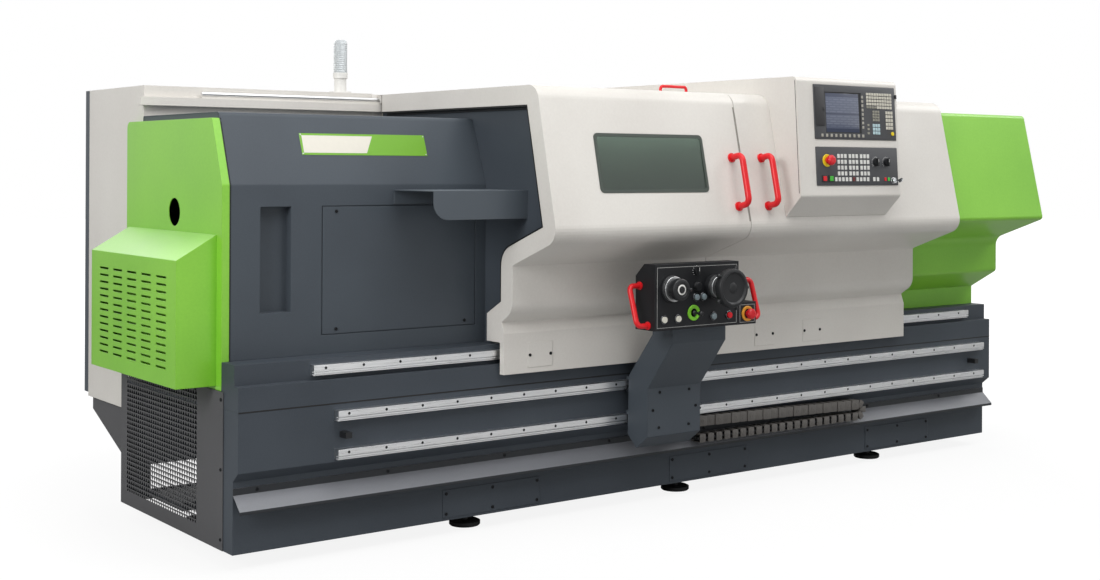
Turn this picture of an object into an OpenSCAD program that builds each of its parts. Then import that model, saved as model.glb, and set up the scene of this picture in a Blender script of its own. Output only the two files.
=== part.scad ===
// CNC turning lathe with sliding doors, a control box on the right door and an operator pendant.
// Machine datum: X from the left end of the base, Y from the base's front face towards the back,
// Z from the floor. place() moves that datum under the middle of the machine.

/* [Base] */
// Length of the base
base_len = 3880; // [3600:10:4200]
// Depth of the base, front to back
base_depth = 1003; // [960:1:1100]
// Height of the base's underside above the floor
floor_gap = 55; // [40:1:80]
// Height of the base's top face
base_top = 521; // [505:1:540]
// How far the skirt stands behind the front face
skirt_back = 38; // [20:1:60]
// Height at which the skirt ends
skirt_top = 293; // [282:1:300]
// Height at which the front face begins
front_low = 325; // [318:1:330]
// Thickness of the base's plates
base_wall = 14; // [8:1:20]
// Length of the hollow bay at the left end
bay_len = 880; // [700:10:900]
// Depth of the post at the front of the bay
end_post = 109; // [80:1:140]
// Radius of a levelling pad
foot_r = 57.5; // [40:0.5:70]

/* [Rails and sill] */
// Length of the pendant rails
rail_len = 3450; // [3300:10:3500]
// Start of the pendant rails from the left end
rail_start = 350; // [300:10:400]
// Height of a rail's face
rail_h = 35; // [28:1:40]
// How far a pendant rail stands out
rail_out = 30; // [20:1:36]
// Height of the upper pendant rail's middle
rail_high = 482; // [470:1:490]
// Height of the lower pendant rail's middle
rail_low = 352; // [348:1:360]
// Height at which the sill meets the skirt
sill_high = 248; // [235:1:255]
// Height of the sill's front edge
sill_low = 203; // [195:1:212]
// How far the sill's front edge stands out from the front face
sill_out = 12; // [5:1:30]
// Thickness of the folded covers
sheet_t = 3; // [2:0.5:5]

/* [Door beam] */
// Height of the beam's lower band
band_top = 603; // [590:1:612]
// Height of the beam's top
beam_top = 672; // [668:1:690]
// Depth of the beam
beam_depth = 170; // [160:1:220]
// Depth of the step that holds the door rail
beam_step = 30; // [28:1:36]
// Thickness of the door rail
door_rail_t = 25; // [15:1:26]
// Height of the door rail's middle
door_rail_z = 636; // [628:1:640]
// Start of the door rail from the left end
door_rail_start = 275; // [250:5:330]
// Length of the door rail
door_rail_len = 3453; // [3400:1:3550]

/* [Headstock] */
// Front face of the headstock cover
head_front = 130; // [120:1:150]
// Height at which the headstock cover leans back
head_fold = 1255; // [1240:1:1280]
// Height of the headstock cover
head_top = 1500; // [1480:1:1510]
// How far the leaning face runs back
head_lean = 90; // [60:1:110]
// Right end of the headstock cover
head_end = 1050; // [1030:1:1070]
// Wall of the headstock cover
head_wall = 4; // [3:0.5:6]
// Height of the spindle axis
axis_z = 1156; // [1145:1:1170]
// Distance of the spindle axis from the front face
axis_y = 522; // [505:1:540]
// Depth of the tool shelf in front of the headstock
shelf_depth = 265; // [200:1:270]
// Left end of the tool shelf
shelf_start = 654; // [600:1:700]
// Height of the tool shelf
shelf_z = 1236; // [1220:1:1250]
// Height of the shelf's front apron
shelf_apron = 101; // [60:1:110]

/* [Left end] */
// Depth of the end cover's rim
end_rim = 27; // [20:1:40]
// Height of the end cover's lower edge
end_low = 577; // [570:1:585]
// Height of the end cover's top
end_top = 1479; // [1460:1:1490]
// Rear edge of the end cover
end_rear = 964; // [940:1:980]
// Radius of the spindle hole in the end cover
spindle_hole_r = 49; // [47:0.5:60]
// How far the vent box stands out
vent_out = 141; // [100:1:180]
// Front edge of the vent box
vent_front = 171; // [160:1:200]
// Rear edge of the vent box
vent_rear = 940; // [920:1:950]
// Height of the vent box's underside
vent_low = 589; // [586:1:600]
// Height of the vent box at its outer face
vent_top = 1008; // [990:1:1020]
// Rise of the vent box's sloping top
vent_rise = 82; // [60:1:85]
// Columns of vent slots
slot_columns = 5; // [3:1:6]
// Rows of vent slots
slot_rows = 13; // [8:1:14]

/* [Cabinet] */
// Left side of the cabinet
cab_left = 30; // [30:1:60]
// Right side of the cabinet
cab_right = 1000; // [900:1:1030]
// Front face of the cabinet
cab_front = 880; // [878:1:900]
// Rear edge of the cabinet
cab_rear = 1445; // [1400:1:1500]
// Height of the cabinet's underside
cab_low = 395; // [380:1:420]
// Height of the cabinet's top
cab_top = 1615; // [1612:1:1650]
// Thickness of the cabinet door
cab_door_t = 42; // [30:1:60]
// Height of the signal tower above the cabinet
tower_h = 218; // [180:1:260]

/* [Doors] */
// Left edge of the left door
left_start = 1020; // [1010:1:1030]
// Where the two doors meet
seam_x = 1960; // [1900:1:1980]
// Right edge of the right door
right_end = 3215; // [3150:1:3250]
// Height of the doors' roof
roof_z = 1610; // [1606:1:1620]
// Rear edge of the doors' roof
roof_rear = 872; // [868:1:874]
// Front edge of the roof, in front of the base's face
roof_front = 226; // [200:1:240]
// How far the doors bulge out in front of the base's face
bulge_out = 350; // [320:1:370]
// Height of the bulge
bulge_z = 1065; // [1055:1:1080]
// How far the doors' middle face stands out
middle_out = 85; // [80:1:95]
// Height at which the bulge ends
middle_top = 965; // [955:1:972]
// Height at which the middle face ends
middle_low = 800; // [790:1:810]
// How far the doors' skirt stands out
door_skirt_out = 35; // [30:1:40]
// Height of the skirt's lower edge
door_low = 567; // [560:1:580]
// Bend radius of the doors' large folds
door_bend = 60; // [30:1:70]
// Wall of the doors
door_wall = 3; // [2:0.5:4]
// Width of the left door's end frame
left_frame = 70; // [60:1:72]
// Width of the other door frames
door_frame = 30; // [20:1:32]
// Left edge of the window
window_start = 1242; // [1200:1:1280]
// Width of the window
window_w = 525; // [400:5:560]
// Height of the window along its leaning face
window_h = 220; // [180:1:240]
// Height of the window's middle
window_z = 1335; // [1320:1:1350]
// Travel of the left door
left_travel = 700; // [500:10:700]
// Travel of the right door
right_travel = 480; // [400:10:480]

/* [Handles] */
// Length of a door handle between its feet
handle_len = 190; // [150:1:220]
// How far a door handle stands out
handle_out = 60; // [50:1:75]
// Thickness of a handle's bar
handle_d = 24; // [18:1:28]
// Height of the door handles' middle
handle_z = 1265; // [1250:1:1280]

/* [Control box] */
// Left side of the control box
box_start = 2152; // [2120:1:2160]
// Width of the control box
box_w = 583; // [560:1:620]
// Height of the control box's top
box_top = 1676; // [1665:1:1700]
// Height of the front's lower edge
box_low = 1209; // [1200:1:1220]
// How far the front's upper edge stands out
box_out_top = 385; // [375:1:390]
// How far the front's lower edge stands out
box_out_low = 415; // [405:1:420]
// Height at which the underside meets the door
box_under = 1128; // [1120:1:1140]
// How far the box reaches back over the roof
box_back = 800; // [600:1:860]
// Width of the panels
panel_w = 478; // [460:1:483]
// Height of the display panel
display_h = 215; // [205:1:220]
// Height of the control panel
control_h = 152; // [145:1:156]
// Thickness of the panels
panel_t = 8; // [5:0.5:12]

/* [Tail cover] */
// Left edge of the tail cover, under the right door
tail_start = 3190; // [3150:1:3200]
// Right end of the tail cover
tail_end = 3870; // [3800:1:3880]
// How far the tail cover lies inside the door's outline
tail_inset = 42; // [40:1:50]

/* [Pendant] */
// Left side of the pendant's column
column_start = 1604; // [1560:1:1640]
// Width of the pendant's column
column_w = 270; // [220:1:300]
// How far the column's lower box stands out
column_out = 149; // [130:1:160]
// Left side of the pendant box
pendant_start = 1457; // [1440:1:1480]
// Width of the pendant box
pendant_w = 417; // [400:1:440]
// Height of the pendant box's underside
pendant_low = 727; // [720:1:740]
// Height of the pendant box
pendant_h = 241; // [230:1:242]
// How far the pendant's front stands out
pendant_out = 360; // [350:1:380]
// Depth of the pendant box
pendant_depth = 108; // [90:1:120]
// Width of the stop box beside the pendant box
stop_box_w = 92; // [80:1:110]
// Radius of the right handwheel
wheel_r = 65; // [55:1:66]
// How far the right handwheel stands out
wheel_out = 114; // [100:1:125]
// Radius of the left handwheel's dial
dial_ring_r = 49; // [40:1:50]

/* [Energy chain] */
// Length of a chain link
link_pitch = 45; // [35:1:60]
// Height of a chain link
link_h = 34; // [28:1:38]
// Width of a chain link
link_w = 50; // [40:1:52]
// Links of the chain's upper run
chain_links = 23; // [18:1:25]

/* [Inside] */
// Height of the bed's ways
way_z = 830; // [815:1:845]
// Radius of the spindle in its bearings
spindle_r = 75; // [65:0.5:85]
// Radius of the bore through the spindle
spindle_bore_r = 46; // [30:0.5:46.5]
// Radius of the chuck
chuck_r = 200; // [160:1:210]
// Length of the chuck body
chuck_len = 125; // [100:1:140]
// Left end of the saddle
saddle_start = 1750; // [1720:1:1800]
// Length of the saddle
saddle_len = 450; // [400:1:480]
// Left end of the tailstock
tailstock_start = 3220; // [3200:1:3260]
// Radius of the tailstock quill
quill_r = 50; // [40:1:60]

/* [Fits] */
// Running clearance of a shaft in its bore
run_gap = 0.05; // [0.02:0.01:0.1]
// Clearance of parts that slide past each other
slide_gap = 0.3; // [0.2:0.05:0.5]
// Open seam round flush panels and between the doors
seam_gap = 3; // [2:0.5:5]

/* [Hidden] */
$fn = 48;
bend_steps = 8;
past = 1;

// Extents of the machine, which place the origin under its middle
lock_proud = 15;
rear_most = cab_rear + cab_door_t + lock_proud;
front_most = pendant_out + wheel_out;
x_mid = (base_len - vent_out) / 2;
y_mid = (rear_most - front_most) / 2;

// Outlines are lists of [y, z, bend radius] in the machine's side view
function point(line, i) = [line[i][0], line[i][1]];
function direction(v) = v / norm(v);
function left_of(v) = [-v[1], v[0]];
function ahead(line, i) = let (k = min(i, len(line) - 2)) direction(point(line, k + 1) - point(line, k));
function behind(line, i) = ahead(line, max(i - 1, 0));
function reversed(list) = [for (i = [len(list) - 1 : -1 : 0]) list[i]];
function first(list, count) = [for (i = [0 : count - 1]) list[i]];

// The outline moved sideways, to the left of its direction; its bends stay concentric
function shifted(line, by) = [
  for (i = [0 : len(line) - 1])
    let (
      before = left_of(behind(line, i)),
      after = left_of(ahead(line, i)),
      middle = direction(before + after),
      reach = by / (middle * before),
      turn = cross(behind(line, i), ahead(line, i)),
      radius = turn > 0 ? line[i][2] - by : line[i][2] + by
    )
    [line[i][0] + middle[0] * reach, line[i][1] + middle[1] * reach, line[i][2] > 0 ? max(radius, 0) : 0]
];

// The points of one bend
function bend(line, i) =
  i == 0 || i == len(line) - 1 || line[i][2] < 0.5 ? [point(line, i)] :
  let (
    corner = point(line, i),
    back = -behind(line, i),
    on = ahead(line, i),
    half = acos(back * on) / 2,
    centre = corner + direction(back + on) * line[i][2] / sin(half),
    arm = corner + back * line[i][2] / tan(half) - centre,
    end = corner + on * line[i][2] / tan(half) - centre,
    start = atan2(arm[1], arm[0]),
    sweep = atan2(cross(arm, end), arm * end)
  )
  [for (k = [0 : bend_steps])
    let (turn = start + sweep * k / bend_steps) centre + line[i][2] * [cos(turn), sin(turn)]];
function rounded(line) = [for (i = [0 : len(line) - 1]) each bend(line, i)];

module place() translate([-x_mid, -y_mid, 0]) children();
module along_x(from, to) translate([from, 0, 0]) rotate([90, 0, 90]) linear_extrude(to - from) children();
module along_y(from, to) translate([0, from, 0]) rotate([-90, 0, 0]) linear_extrude(to - from) children();
module block(low, high) translate(low) cube(high - low);
// A sheet that follows an outline, between two distances to its left
module sheet(line, outer, inner) {
  polygon(concat(rounded(shifted(line, outer)), reversed(rounded(shifted(line, inner)))));
}
module rounded_rect(w, h, r) {
  square([w - 2 * r, h], center = true);
  square([w, h - 2 * r], center = true);
  for (x = [-1, 1], z = [-1, 1]) translate([x * (w / 2 - r), z * (h / 2 - r)]) circle(r);
}
// A plate that stands on a face and grows towards the front
module front_plate(w, h, t, r) rotate([90, 0, 0]) linear_extrude(t) rounded_rect(w, h, r);
// Local frame on a face that leans back by an angle
module on_face(x, y, z, lean) translate([x, y, z]) rotate([-lean, 0, 0]) children();
// A cylinder that stands out towards the front
module front_rod(r, from, to) translate([0, -from, 0]) rotate([90, 0, 0]) cylinder(r = r, h = to - from);

// Base: set-back skirt, chamfer and front face
base_line = [
  [skirt_back, floor_gap], [skirt_back, skirt_top], [0, front_low], [0, base_top],
  [base_depth, base_top], [base_depth, floor_gap]
];
bracket_low = 197;
bracket_drop = 50;
bay_window_low = floor_gap + 35;
bay_window_high = bracket_low - 12;
foot_ledge = 270;
foot_ledge_w = 160;
foot_ledge_t = 30;
bay_foot_x = 200;
bay_foot_y = 300;
foot_past_bay = 95;
foot_middle = 2010;
foot_end_inset = 700;
foot_row = [bay_len + foot_past_bay, foot_middle, base_len - foot_end_inset];
foot_y = 147;
foot_rear_y = base_depth - foot_y + skirt_back;
bay_rear_foot_y = base_depth - bay_foot_y + skirt_back;
foot_places = concat(
  [for (x = foot_row, y = [foot_y, foot_rear_y]) [x, y]],
  [for (y = [bay_foot_y, bay_rear_foot_y]) [bay_foot_x, y]]
);

module base_frame() color("#3a4047") place() {
  difference() {
    along_x(0, base_len) polygon(base_line);
    block([-past, end_post, floor_gap - past], [bay_len, base_depth - base_wall, base_top - base_wall]);
    block([end_post, base_depth - base_wall - past, bay_window_low],
      [bay_len - end_post, base_depth + past, bay_window_high]);
  }
  for (y = [end_post, base_depth - base_wall - foot_ledge])
    block([bay_foot_x - foot_ledge_w / 2, y, floor_gap],
      [bay_foot_x + foot_ledge_w / 2, y + foot_ledge, floor_gap + foot_ledge_t]);
}

pad_edge = 4;
pad_t = 20;
stud_r = 12;
nut_r = 20;
nut_t = 14;
module levelling_feet() color("#141416") place()
  for (at = foot_places) translate([at[0], at[1], 0]) {
    rotate_extrude() polygon([
      [0, 0], [foot_r - pad_edge, 0], [foot_r, pad_edge], [foot_r, pad_t - pad_edge],
      [foot_r - 2 * pad_edge, pad_t], [0, pad_t]
    ]);
    cylinder(r = stud_r, h = floor_gap);
    translate([0, 0, floor_gap - nut_t]) cylinder(r = nut_r, h = nut_t, $fn = 6);
  }

plate_len = 430;
plate_end_inset = 836;
plate_rows = [808, 1883, base_len - plate_end_inset];
plate_low = 65;
plate_high = 165;
plate_proud = 2;
module access_plates() color("#40464d") place()
  for (x = plate_rows)
    block([x, skirt_back - plate_proud, plate_low], [x + plate_len, skirt_back, plate_high]);

sill_flange = 24;
sill_lip = 9;
sill_line = [
  [skirt_back, sill_high + sill_flange, 0], [skirt_back, sill_high, 0],
  [-sill_out, sill_low, 0], [-sill_out, sill_low - sill_lip, 0]
];
module chain_sill() color("#4a5057") place() along_x(0, base_len) sheet(sill_line, -sheet_t, 0);

// Rails: a screwed flat, a bead under it and a thin lower ledge
rail_groove = 3;
rail_bead = 8;
rail_end = rail_start + rail_len;
function rail_outline(h, out) = [
  [0, h / 2], [-out, h / 2], [-out, -h / 2 + rail_bead + 2 * rail_groove],
  [-out / 2, -h / 2 + rail_bead + 2 * rail_groove], [-out / 2, -h / 2 + rail_bead + rail_groove],
  [-out, -h / 2 + rail_bead + rail_groove], [-out, -h / 2 + 2 * rail_groove],
  [-out / 2, -h / 2 + 2 * rail_groove], [-out / 2, -h / 2 + rail_groove],
  [-out * 0.8, -h / 2 + rail_groove], [-out * 0.8, -h / 2], [0, -h / 2]
];
module rail(start, end, y, z, h, out) along_x(start, end) translate([y, z]) polygon(rail_outline(h, out));
module pendant_rails() color("#c9cbcc") place()
  for (z = [rail_high, rail_low]) rail(rail_start, rail_end, 0, z, rail_h, rail_out);

stop_len = 24;
stop_h = 20;
stop_proud = 8;
stop_z = (rail_high + rail_low) / 2;
left_stop_inset = 20;
right_stop_inset = 164;
left_stop_x = rail_start + left_stop_inset;
right_stop_x = base_len - right_stop_inset;
module carriage_stops() color("#161617") place()
  for (x = [left_stop_x, right_stop_x])
    block([x, -column_back - stop_proud, stop_z - stop_h / 2], [x + stop_len, 0, stop_z + stop_h / 2]);

// Beam on the base: a lower band, a step for the door rail and a top
beam_front_depth = head_front - 2;
module door_beam() color("#353b42") place() {
  along_x(0, base_len) polygon([
    [0, base_top], [0, band_top], [beam_step, band_top], [beam_step, beam_top],
    [beam_front_depth, beam_top], [beam_front_depth, base_top]
  ]);
  block([end_rim + past, beam_front_depth, base_top], [base_len, beam_depth, beam_top]);
}

// Guides of the doors: the flat rail on the beam and the round rod on the top beam
rod_r = 8;
rod_y = cab_front - 18;
rod_z = roof_z - 21;
rod_start = 250;
rod_end = tail_end - 40;
module door_guides() color("#c4c6c8") place() {
  rail(door_rail_start, door_rail_start + door_rail_len, beam_step, door_rail_z, rail_h, door_rail_t);
  translate([rod_start, rod_y, rod_z]) rotate([0, 90, 0]) cylinder(r = rod_r, h = rod_end - rod_start);
}

// Top beam behind the doors, with the web that carries the rod
top_beam_depth = 30;
top_beam_h = 32;
top_beam_z = rod_z - 17;
top_beam_low = top_beam_z - top_beam_h;
top_beam_start = 6;
web_t = 6;
module top_beam() color("#d8d3cc") place() difference() {
  union() {
    block([top_beam_start, cab_front - top_beam_depth, top_beam_z - top_beam_h],
      [tail_end, cab_front, top_beam_z]);
    block([rod_start, rod_y - web_t / 2, top_beam_z - past],
      [rod_end, rod_y + web_t / 2, rod_z - web_t / 2]);
  }
  translate([rod_start - past, rod_y, rod_z]) rotate([0, 90, 0])
    cylinder(r = rod_r + run_gap, h = rod_end - rod_start + 2 * past);
}

// Headstock cover: front, leaning face, top and back
head_rear = cab_front - 2;
head_line = [
  [head_front, beam_top, 0], [head_front, head_fold, 20], [head_front + head_lean, head_top, 20],
  [head_rear, head_top, 10], [head_rear, base_top, 0]
];
head_lean_angle = atan(head_lean / (head_top - head_fold));
recess_x = [138, 252];
recess_z = [824, 1181];
recess_deep = 40;
service_x = [372, 1003];
service_z = [740, 1179];
service_ledge = 20;
module headstock_cover() color("#474d55") place() difference() {
  union() {
    along_x(end_rim, head_end) sheet(head_line, 0, -head_wall);
    block([recess_x[0] - sheet_t, head_front + past, recess_z[0] - sheet_t],
      [recess_x[1] + sheet_t, head_front + recess_deep + sheet_t, recess_z[1] + sheet_t]);
    block([service_x[0] - service_ledge, head_front + head_wall - past / 2, service_z[0] - service_ledge],
      [service_x[1] + service_ledge, head_front + 2 * head_wall, service_z[1] + service_ledge]);
  }
  block([recess_x[0], head_front - past, recess_z[0]], [recess_x[1], head_front + recess_deep, recess_z[1]]);
  block([service_x[0] - seam_gap, head_front - past, service_z[0] - seam_gap],
    [service_x[1] + seam_gap, head_front + head_wall, service_z[1] + seam_gap]);
  block([service_x[0] + service_ledge, head_front - past, service_z[0] + service_ledge],
    [service_x[1] - service_ledge, head_front + 3 * head_wall, service_z[1] - service_ledge]);
}
module service_panel() color("#474d55") place()
  block([service_x[0], head_front, service_z[0]], [service_x[1], head_front + head_wall, service_z[1]]);

// Tool shelf: a tray with a front apron whose lower left corner is round
shelf_corner = 60;
shelf_front = head_front - shelf_depth;
module tool_shelf() color("#4b5159") place() {
  block([shelf_start, shelf_front, shelf_z - sheet_t], [head_end, head_front, shelf_z]);
  block([shelf_start, head_front - sheet_t, shelf_z - shelf_apron / 2], [head_end, head_front, shelf_z]);
  along_y(shelf_front, shelf_front + sheet_t) mirror([0, 1]) difference() {
    translate([shelf_start, shelf_z - shelf_apron]) square([head_end - shelf_start, shelf_apron]);
    translate([shelf_start, shelf_z - shelf_apron]) difference() {
      square(shelf_corner);
      translate([shelf_corner, shelf_corner]) circle(shelf_corner);
    }
  }
}

// Left end cover: a tray that follows the headstock's outline
end_line = [
  [head_front, end_low, 0], [head_front, head_fold, 20],
  [head_front + (end_top - head_fold) * tan(head_lean_angle), end_top, 12],
  [end_rear, end_top, 25], [end_rear, end_low, 0]
];
module end_cover() color("#8bc653") place() difference() {
  along_x(0, end_rim) polygon(rounded(end_line));
  along_x(sheet_t, end_rim + past) polygon(rounded(shifted(end_line, -sheet_t)));
  block([sheet_t, head_front + sheet_t, end_low - past],
    [end_rim + past, end_rear - sheet_t, end_low + past]);
  translate([-past, axis_y, axis_z]) rotate([0, 90, 0]) cylinder(r = spindle_hole_r, h = end_rim);
}

// Vent box: a folded hood with a field of slots in its outer face
vent_line = [
  [0, vent_low, 0], [-vent_out, vent_low, 0], [-vent_out, vent_top, 0], [0, vent_top + vent_rise, 0]
];
slot_w = 85;
slot_h = 7;
slot_pitch_y = 130;
slot_pitch_z = 25;
slot_first_y = (vent_front + vent_rear) / 2 - (slot_columns - 1) * slot_pitch_y / 2;
slot_first_z = (vent_low + vent_top) / 2 - (slot_rows - 1) * slot_pitch_z / 2;
module vent_slot() {
  square([slot_w - slot_h, slot_h], center = true);
  for (side = [-1, 1]) translate([side * (slot_w - slot_h) / 2, 0]) circle(slot_h / 2, $fn = 16);
}
module vent_box() color("#8bc653") place() {
  difference() {
    along_y(vent_front, vent_rear) mirror([0, 1]) sheet(vent_line, 0, -sheet_t);
    block([-vent_out - past, vent_front + sheet_t, vent_low + sheet_t],
      [-vent_out + 2 * sheet_t, vent_rear - sheet_t, vent_top - sheet_t]);
    block([0, vent_front - past, vent_low - past], [sheet_t, vent_rear + past, vent_top + vent_rise + past]);
  }
  for (y = [vent_front, vent_rear - sheet_t])
    along_y(y, y + sheet_t) mirror([0, 1]) polygon(rounded(vent_line));
  along_x(-vent_out, -vent_out + sheet_t) difference() {
    translate([vent_front + sheet_t / 2, vent_low + sheet_t / 2])
      square([vent_rear - vent_front - sheet_t, vent_top - vent_low - sheet_t]);
    for (column = [0 : slot_columns - 1], row = [0 : slot_rows - 1])
      translate([slot_first_y + column * slot_pitch_y, slot_first_z + row * slot_pitch_z]) vent_slot();
  }
}

// Mesh guard: a perforated plate over the hollow left end of the base
mesh_columns = 24;
mesh_rows = 18;
mesh_margin = 45;
mesh_front = 314;
mesh_pitch_y = (base_depth - mesh_margin - mesh_front) / mesh_columns;
mesh_pitch_z = (end_low - floor_gap - 2 * mesh_margin) / mesh_rows;
mesh_hole_r = 8;
mesh_low = floor_gap + mesh_margin;
module mesh_guard() color("#34393f") place() along_x(-sheet_t, 0) difference() {
  translate([end_post, floor_gap]) square([base_depth - end_post, end_low - floor_gap - past / 2]);
  for (column = [0 : mesh_columns - 1], row = [0 : mesh_rows - 1])
    translate([mesh_front + (column + 0.5) * mesh_pitch_y, mesh_low + (row + 0.5) * mesh_pitch_z])
      circle(mesh_hole_r, $fn = 12);
}

// Electrical cabinet, open at the back, with its hinge pins on the right
hinge_r = 7;
hinge_pin_r = 4;
hinge_x = cab_right + hinge_r + 1;
hinge_y = cab_rear + 6;
hinge_len = 45;
hinge_leaf = 30;
hinge_heights = [cab_low + 130, (cab_low + cab_top) / 2, cab_top - 130];
module cabinet_shell() color("#ddd8d2") place() {
  difference() {
    union() {
      block([cab_left, cab_front, base_top], [cab_right, cab_rear, cab_top]);
      block([cab_left, base_depth, cab_low], [cab_right, cab_rear, base_top + past]);
    }
    block([cab_left + sheet_t, cab_front + sheet_t, base_top + sheet_t],
      [cab_right - sheet_t, cab_rear + past, cab_top - sheet_t]);
    block([cab_left + sheet_t, base_depth + sheet_t, cab_low + sheet_t],
      [cab_right - sheet_t, cab_rear + past, base_top + 2 * sheet_t]);
  }
  for (z = hinge_heights) translate([hinge_x, hinge_y, z]) {
    translate([0, 0, -hinge_len]) cylinder(r = hinge_r, h = hinge_len);
    cylinder(r = hinge_pin_r, h = hinge_len);
    block([cab_right - hinge_x, cab_rear - hinge_leaf - hinge_y, -hinge_len],
      [-hinge_pin_r, -hinge_pin_r, 0]);
  }
}
door_margin = 15;
door_pan = 38;
lock_x = 90;
lock_w = 34;
lock_len = 160;
module cabinet_door() color("#3c4248") place() {
  difference() {
    block([cab_left, cab_rear, cab_low + door_margin],
      [cab_right, cab_rear + cab_door_t, cab_top - slide_gap]);
    block([cab_left + sheet_t, cab_rear - past, cab_low + door_margin + sheet_t],
      [cab_right - sheet_t, cab_rear + door_pan, cab_top - 2 * sheet_t]);
  }
  for (z = hinge_heights) translate([hinge_x, hinge_y, z + slide_gap]) difference() {
    union() {
      cylinder(r = hinge_r, h = hinge_len);
      block([cab_right - hinge_x - past, hinge_pin_r, 0], [-hinge_pin_r, hinge_leaf, hinge_len]);
    }
    translate([0, 0, -past]) cylinder(r = hinge_pin_r + run_gap, h = hinge_len + 2 * past);
  }
  translate([cab_left + lock_x, cab_rear + cab_door_t - past, (cab_low + cab_top) / 2 - lock_len / 2])
    cube([lock_w, lock_proud + past, lock_len]);
}

bracket_deep = 77;
module cabinet_bracket() color("#3a4047") place()
  along_x(cab_left + base_wall, cab_right - base_wall) polygon([
    [base_depth, bracket_low], [base_depth + bracket_deep, bracket_low],
    [cab_rear - door_margin, cab_low - bracket_drop], [cab_rear - door_margin, cab_low],
    [base_depth, cab_low]
  ]);

// Drives on their mounting plate, with cooling ribs
drive_w = 110;
drive_h = 300;
drive_deep = 180;
drive_count = 5;
drive_pitch = 150;
drive_rib = 6;
drive_lift = 480;
drive_low = base_top + drive_lift;
rack_y = cab_front + sheet_t;
rack_margin = 60;
drive_x = cab_left + 2 * rack_margin;
transformer = [330, 150, 200];
relay_box = [280, 90, 120];
relay_x = drive_x + transformer[0] + rack_margin;
module drive_modules() color("#8f9496") place() {
  block([cab_left + rack_margin, rack_y, base_top + rack_margin],
    [cab_right - rack_margin, rack_y + sheet_t, cab_top - rack_margin]);
  for (k = [0 : drive_count - 1])
    translate([drive_x + k * drive_pitch, rack_y + sheet_t / 2, drive_low]) {
      cube([drive_w, drive_deep, drive_h]);
      for (rib = [1 : 4]) translate([rib * drive_w / 5 - drive_rib / 2, drive_deep - past, drive_h / 5])
        cube([drive_rib, 20, drive_h * 3 / 5]);
    }
  translate([drive_x, rack_y + sheet_t / 2, base_top + 2 * rack_margin]) cube(transformer);
  translate([relay_x, rack_y + sheet_t / 2, base_top + 2 * rack_margin]) cube(relay_box);
}

// Signal tower on the cabinet
tower_x = 891;
tower_y = 950;
tower_flange_r = 45;
tower_flange_t = 7;
tower_tube_r = 25;
tower_tube_top = 61;
tower_ring_r = 30;
tower_ring_top = 84;
lamp_r = 28;
module signal_tower() color("#e6e6e4") place() translate([tower_x, tower_y, cab_top]) {
  cylinder(r = tower_flange_r, h = tower_flange_t);
  cylinder(r = tower_tube_r, h = tower_tube_top + past);
  translate([0, 0, tower_tube_top]) cylinder(r = tower_ring_r, h = tower_ring_top - tower_tube_top);
}
module signal_lamp() color("#e9eef0") place() translate([tower_x, tower_y, cab_top + tower_ring_top])
  rotate_extrude() polygon([
    [0, 0], [lamp_r, 0], [lamp_r, tower_h - tower_ring_top - 10], [lamp_r - 6, tower_h - tower_ring_top],
    [0, tower_h - tower_ring_top]
  ]);

// Outline that both doors share, from the roof's rear edge down to the skirt
groove_out = 20;
groove_z = 757;
door_skirt_top = 715;
door_line = [
  [roof_rear, roof_z, 0], [-roof_front, roof_z, door_bend], [-bulge_out, bulge_z, door_bend],
  [-middle_out, middle_top, 8], [-middle_out, middle_low, door_bend], [-groove_out, groove_z, 6],
  [-door_skirt_out, door_skirt_top, 6], [-door_skirt_out, door_low, 0]
];
door_lean = atan((bulge_out - roof_front) / (roof_z - bulge_z));
function door_face_y(z) = -bulge_out + (z - bulge_z) * tan(door_lean);
frame_foot_y = 74;
frame_foot_z = 782;
frame_knee_z = 831;
frame_gap = 10;
frame_rear = rod_y - rod_r - 20;
// Inner edge of a door's end frame; a narrower frame has a shorter foot
function frame_line(width) = concat(
  [[frame_rear, roof_z - width, 0]],
  [for (i = [1 : 3]) shifted(door_line, width)[i]],
  [[width - middle_out, frame_knee_z, 0]],
  [for (z = [frame_foot_z, beam_top + frame_gap]) [frame_foot_y - left_frame + width, z, 0]]
);
skirt_return = 25;
module door_end_frame(width) polygon(concat(
  rounded(concat([[frame_rear, roof_z, 0]], [for (i = [1 : 7]) door_line[i]])),
  [[skirt_return - door_skirt_out, door_low], [skirt_return - door_skirt_out, beam_top + frame_gap]],
  reversed(rounded(frame_line(width)))
));
// Shoe that carries a door on its rail, and the block that guides its roof on the rod
shoe_len = 80;
shoe_lip = 9;
shoe_lift = 2;
guide_len = 50;
door_rail_front = beam_step - door_rail_t;
door_rail_top = door_rail_z + rail_h / 2;
module door_shoe(x) {
  block([x, -door_skirt_out + door_wall / 2, band_top + shoe_lift],
    [x + shoe_len, door_rail_front - slide_gap, door_rail_top + shoe_lip]);
  block([x, door_rail_front - slide_gap - past, door_rail_top + slide_gap],
    [x + shoe_len, beam_step - slide_gap, door_rail_top + shoe_lip]);
}
module roof_guide(x) difference() {
  block([x, rod_y - 2 * rod_r, top_beam_z + rod_r / 2], [x + guide_len, roof_rear, roof_z - door_wall / 2]);
  translate([x - past, rod_y, rod_z]) rotate([0, 90, 0])
    cylinder(r = rod_r + slide_gap, h = guide_len + 2 * past);
  block([x - past, rod_y - rod_r, top_beam_z], [x + guide_len + past, rod_y + rod_r, rod_z]);
}
module door(start, end, left_width, right_width) {
  along_x(start, end) sheet(door_line, 0, door_wall);
  along_x(start, start + door_wall) door_end_frame(left_width);
  along_x(end - door_wall, end) door_end_frame(right_width);
  for (x = [start + door_wall + shoe_len, end - door_wall - 2 * shoe_len]) door_shoe(x);
  for (x = [start + door_wall, end - door_wall - guide_len]) roof_guide(x);
}
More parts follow.
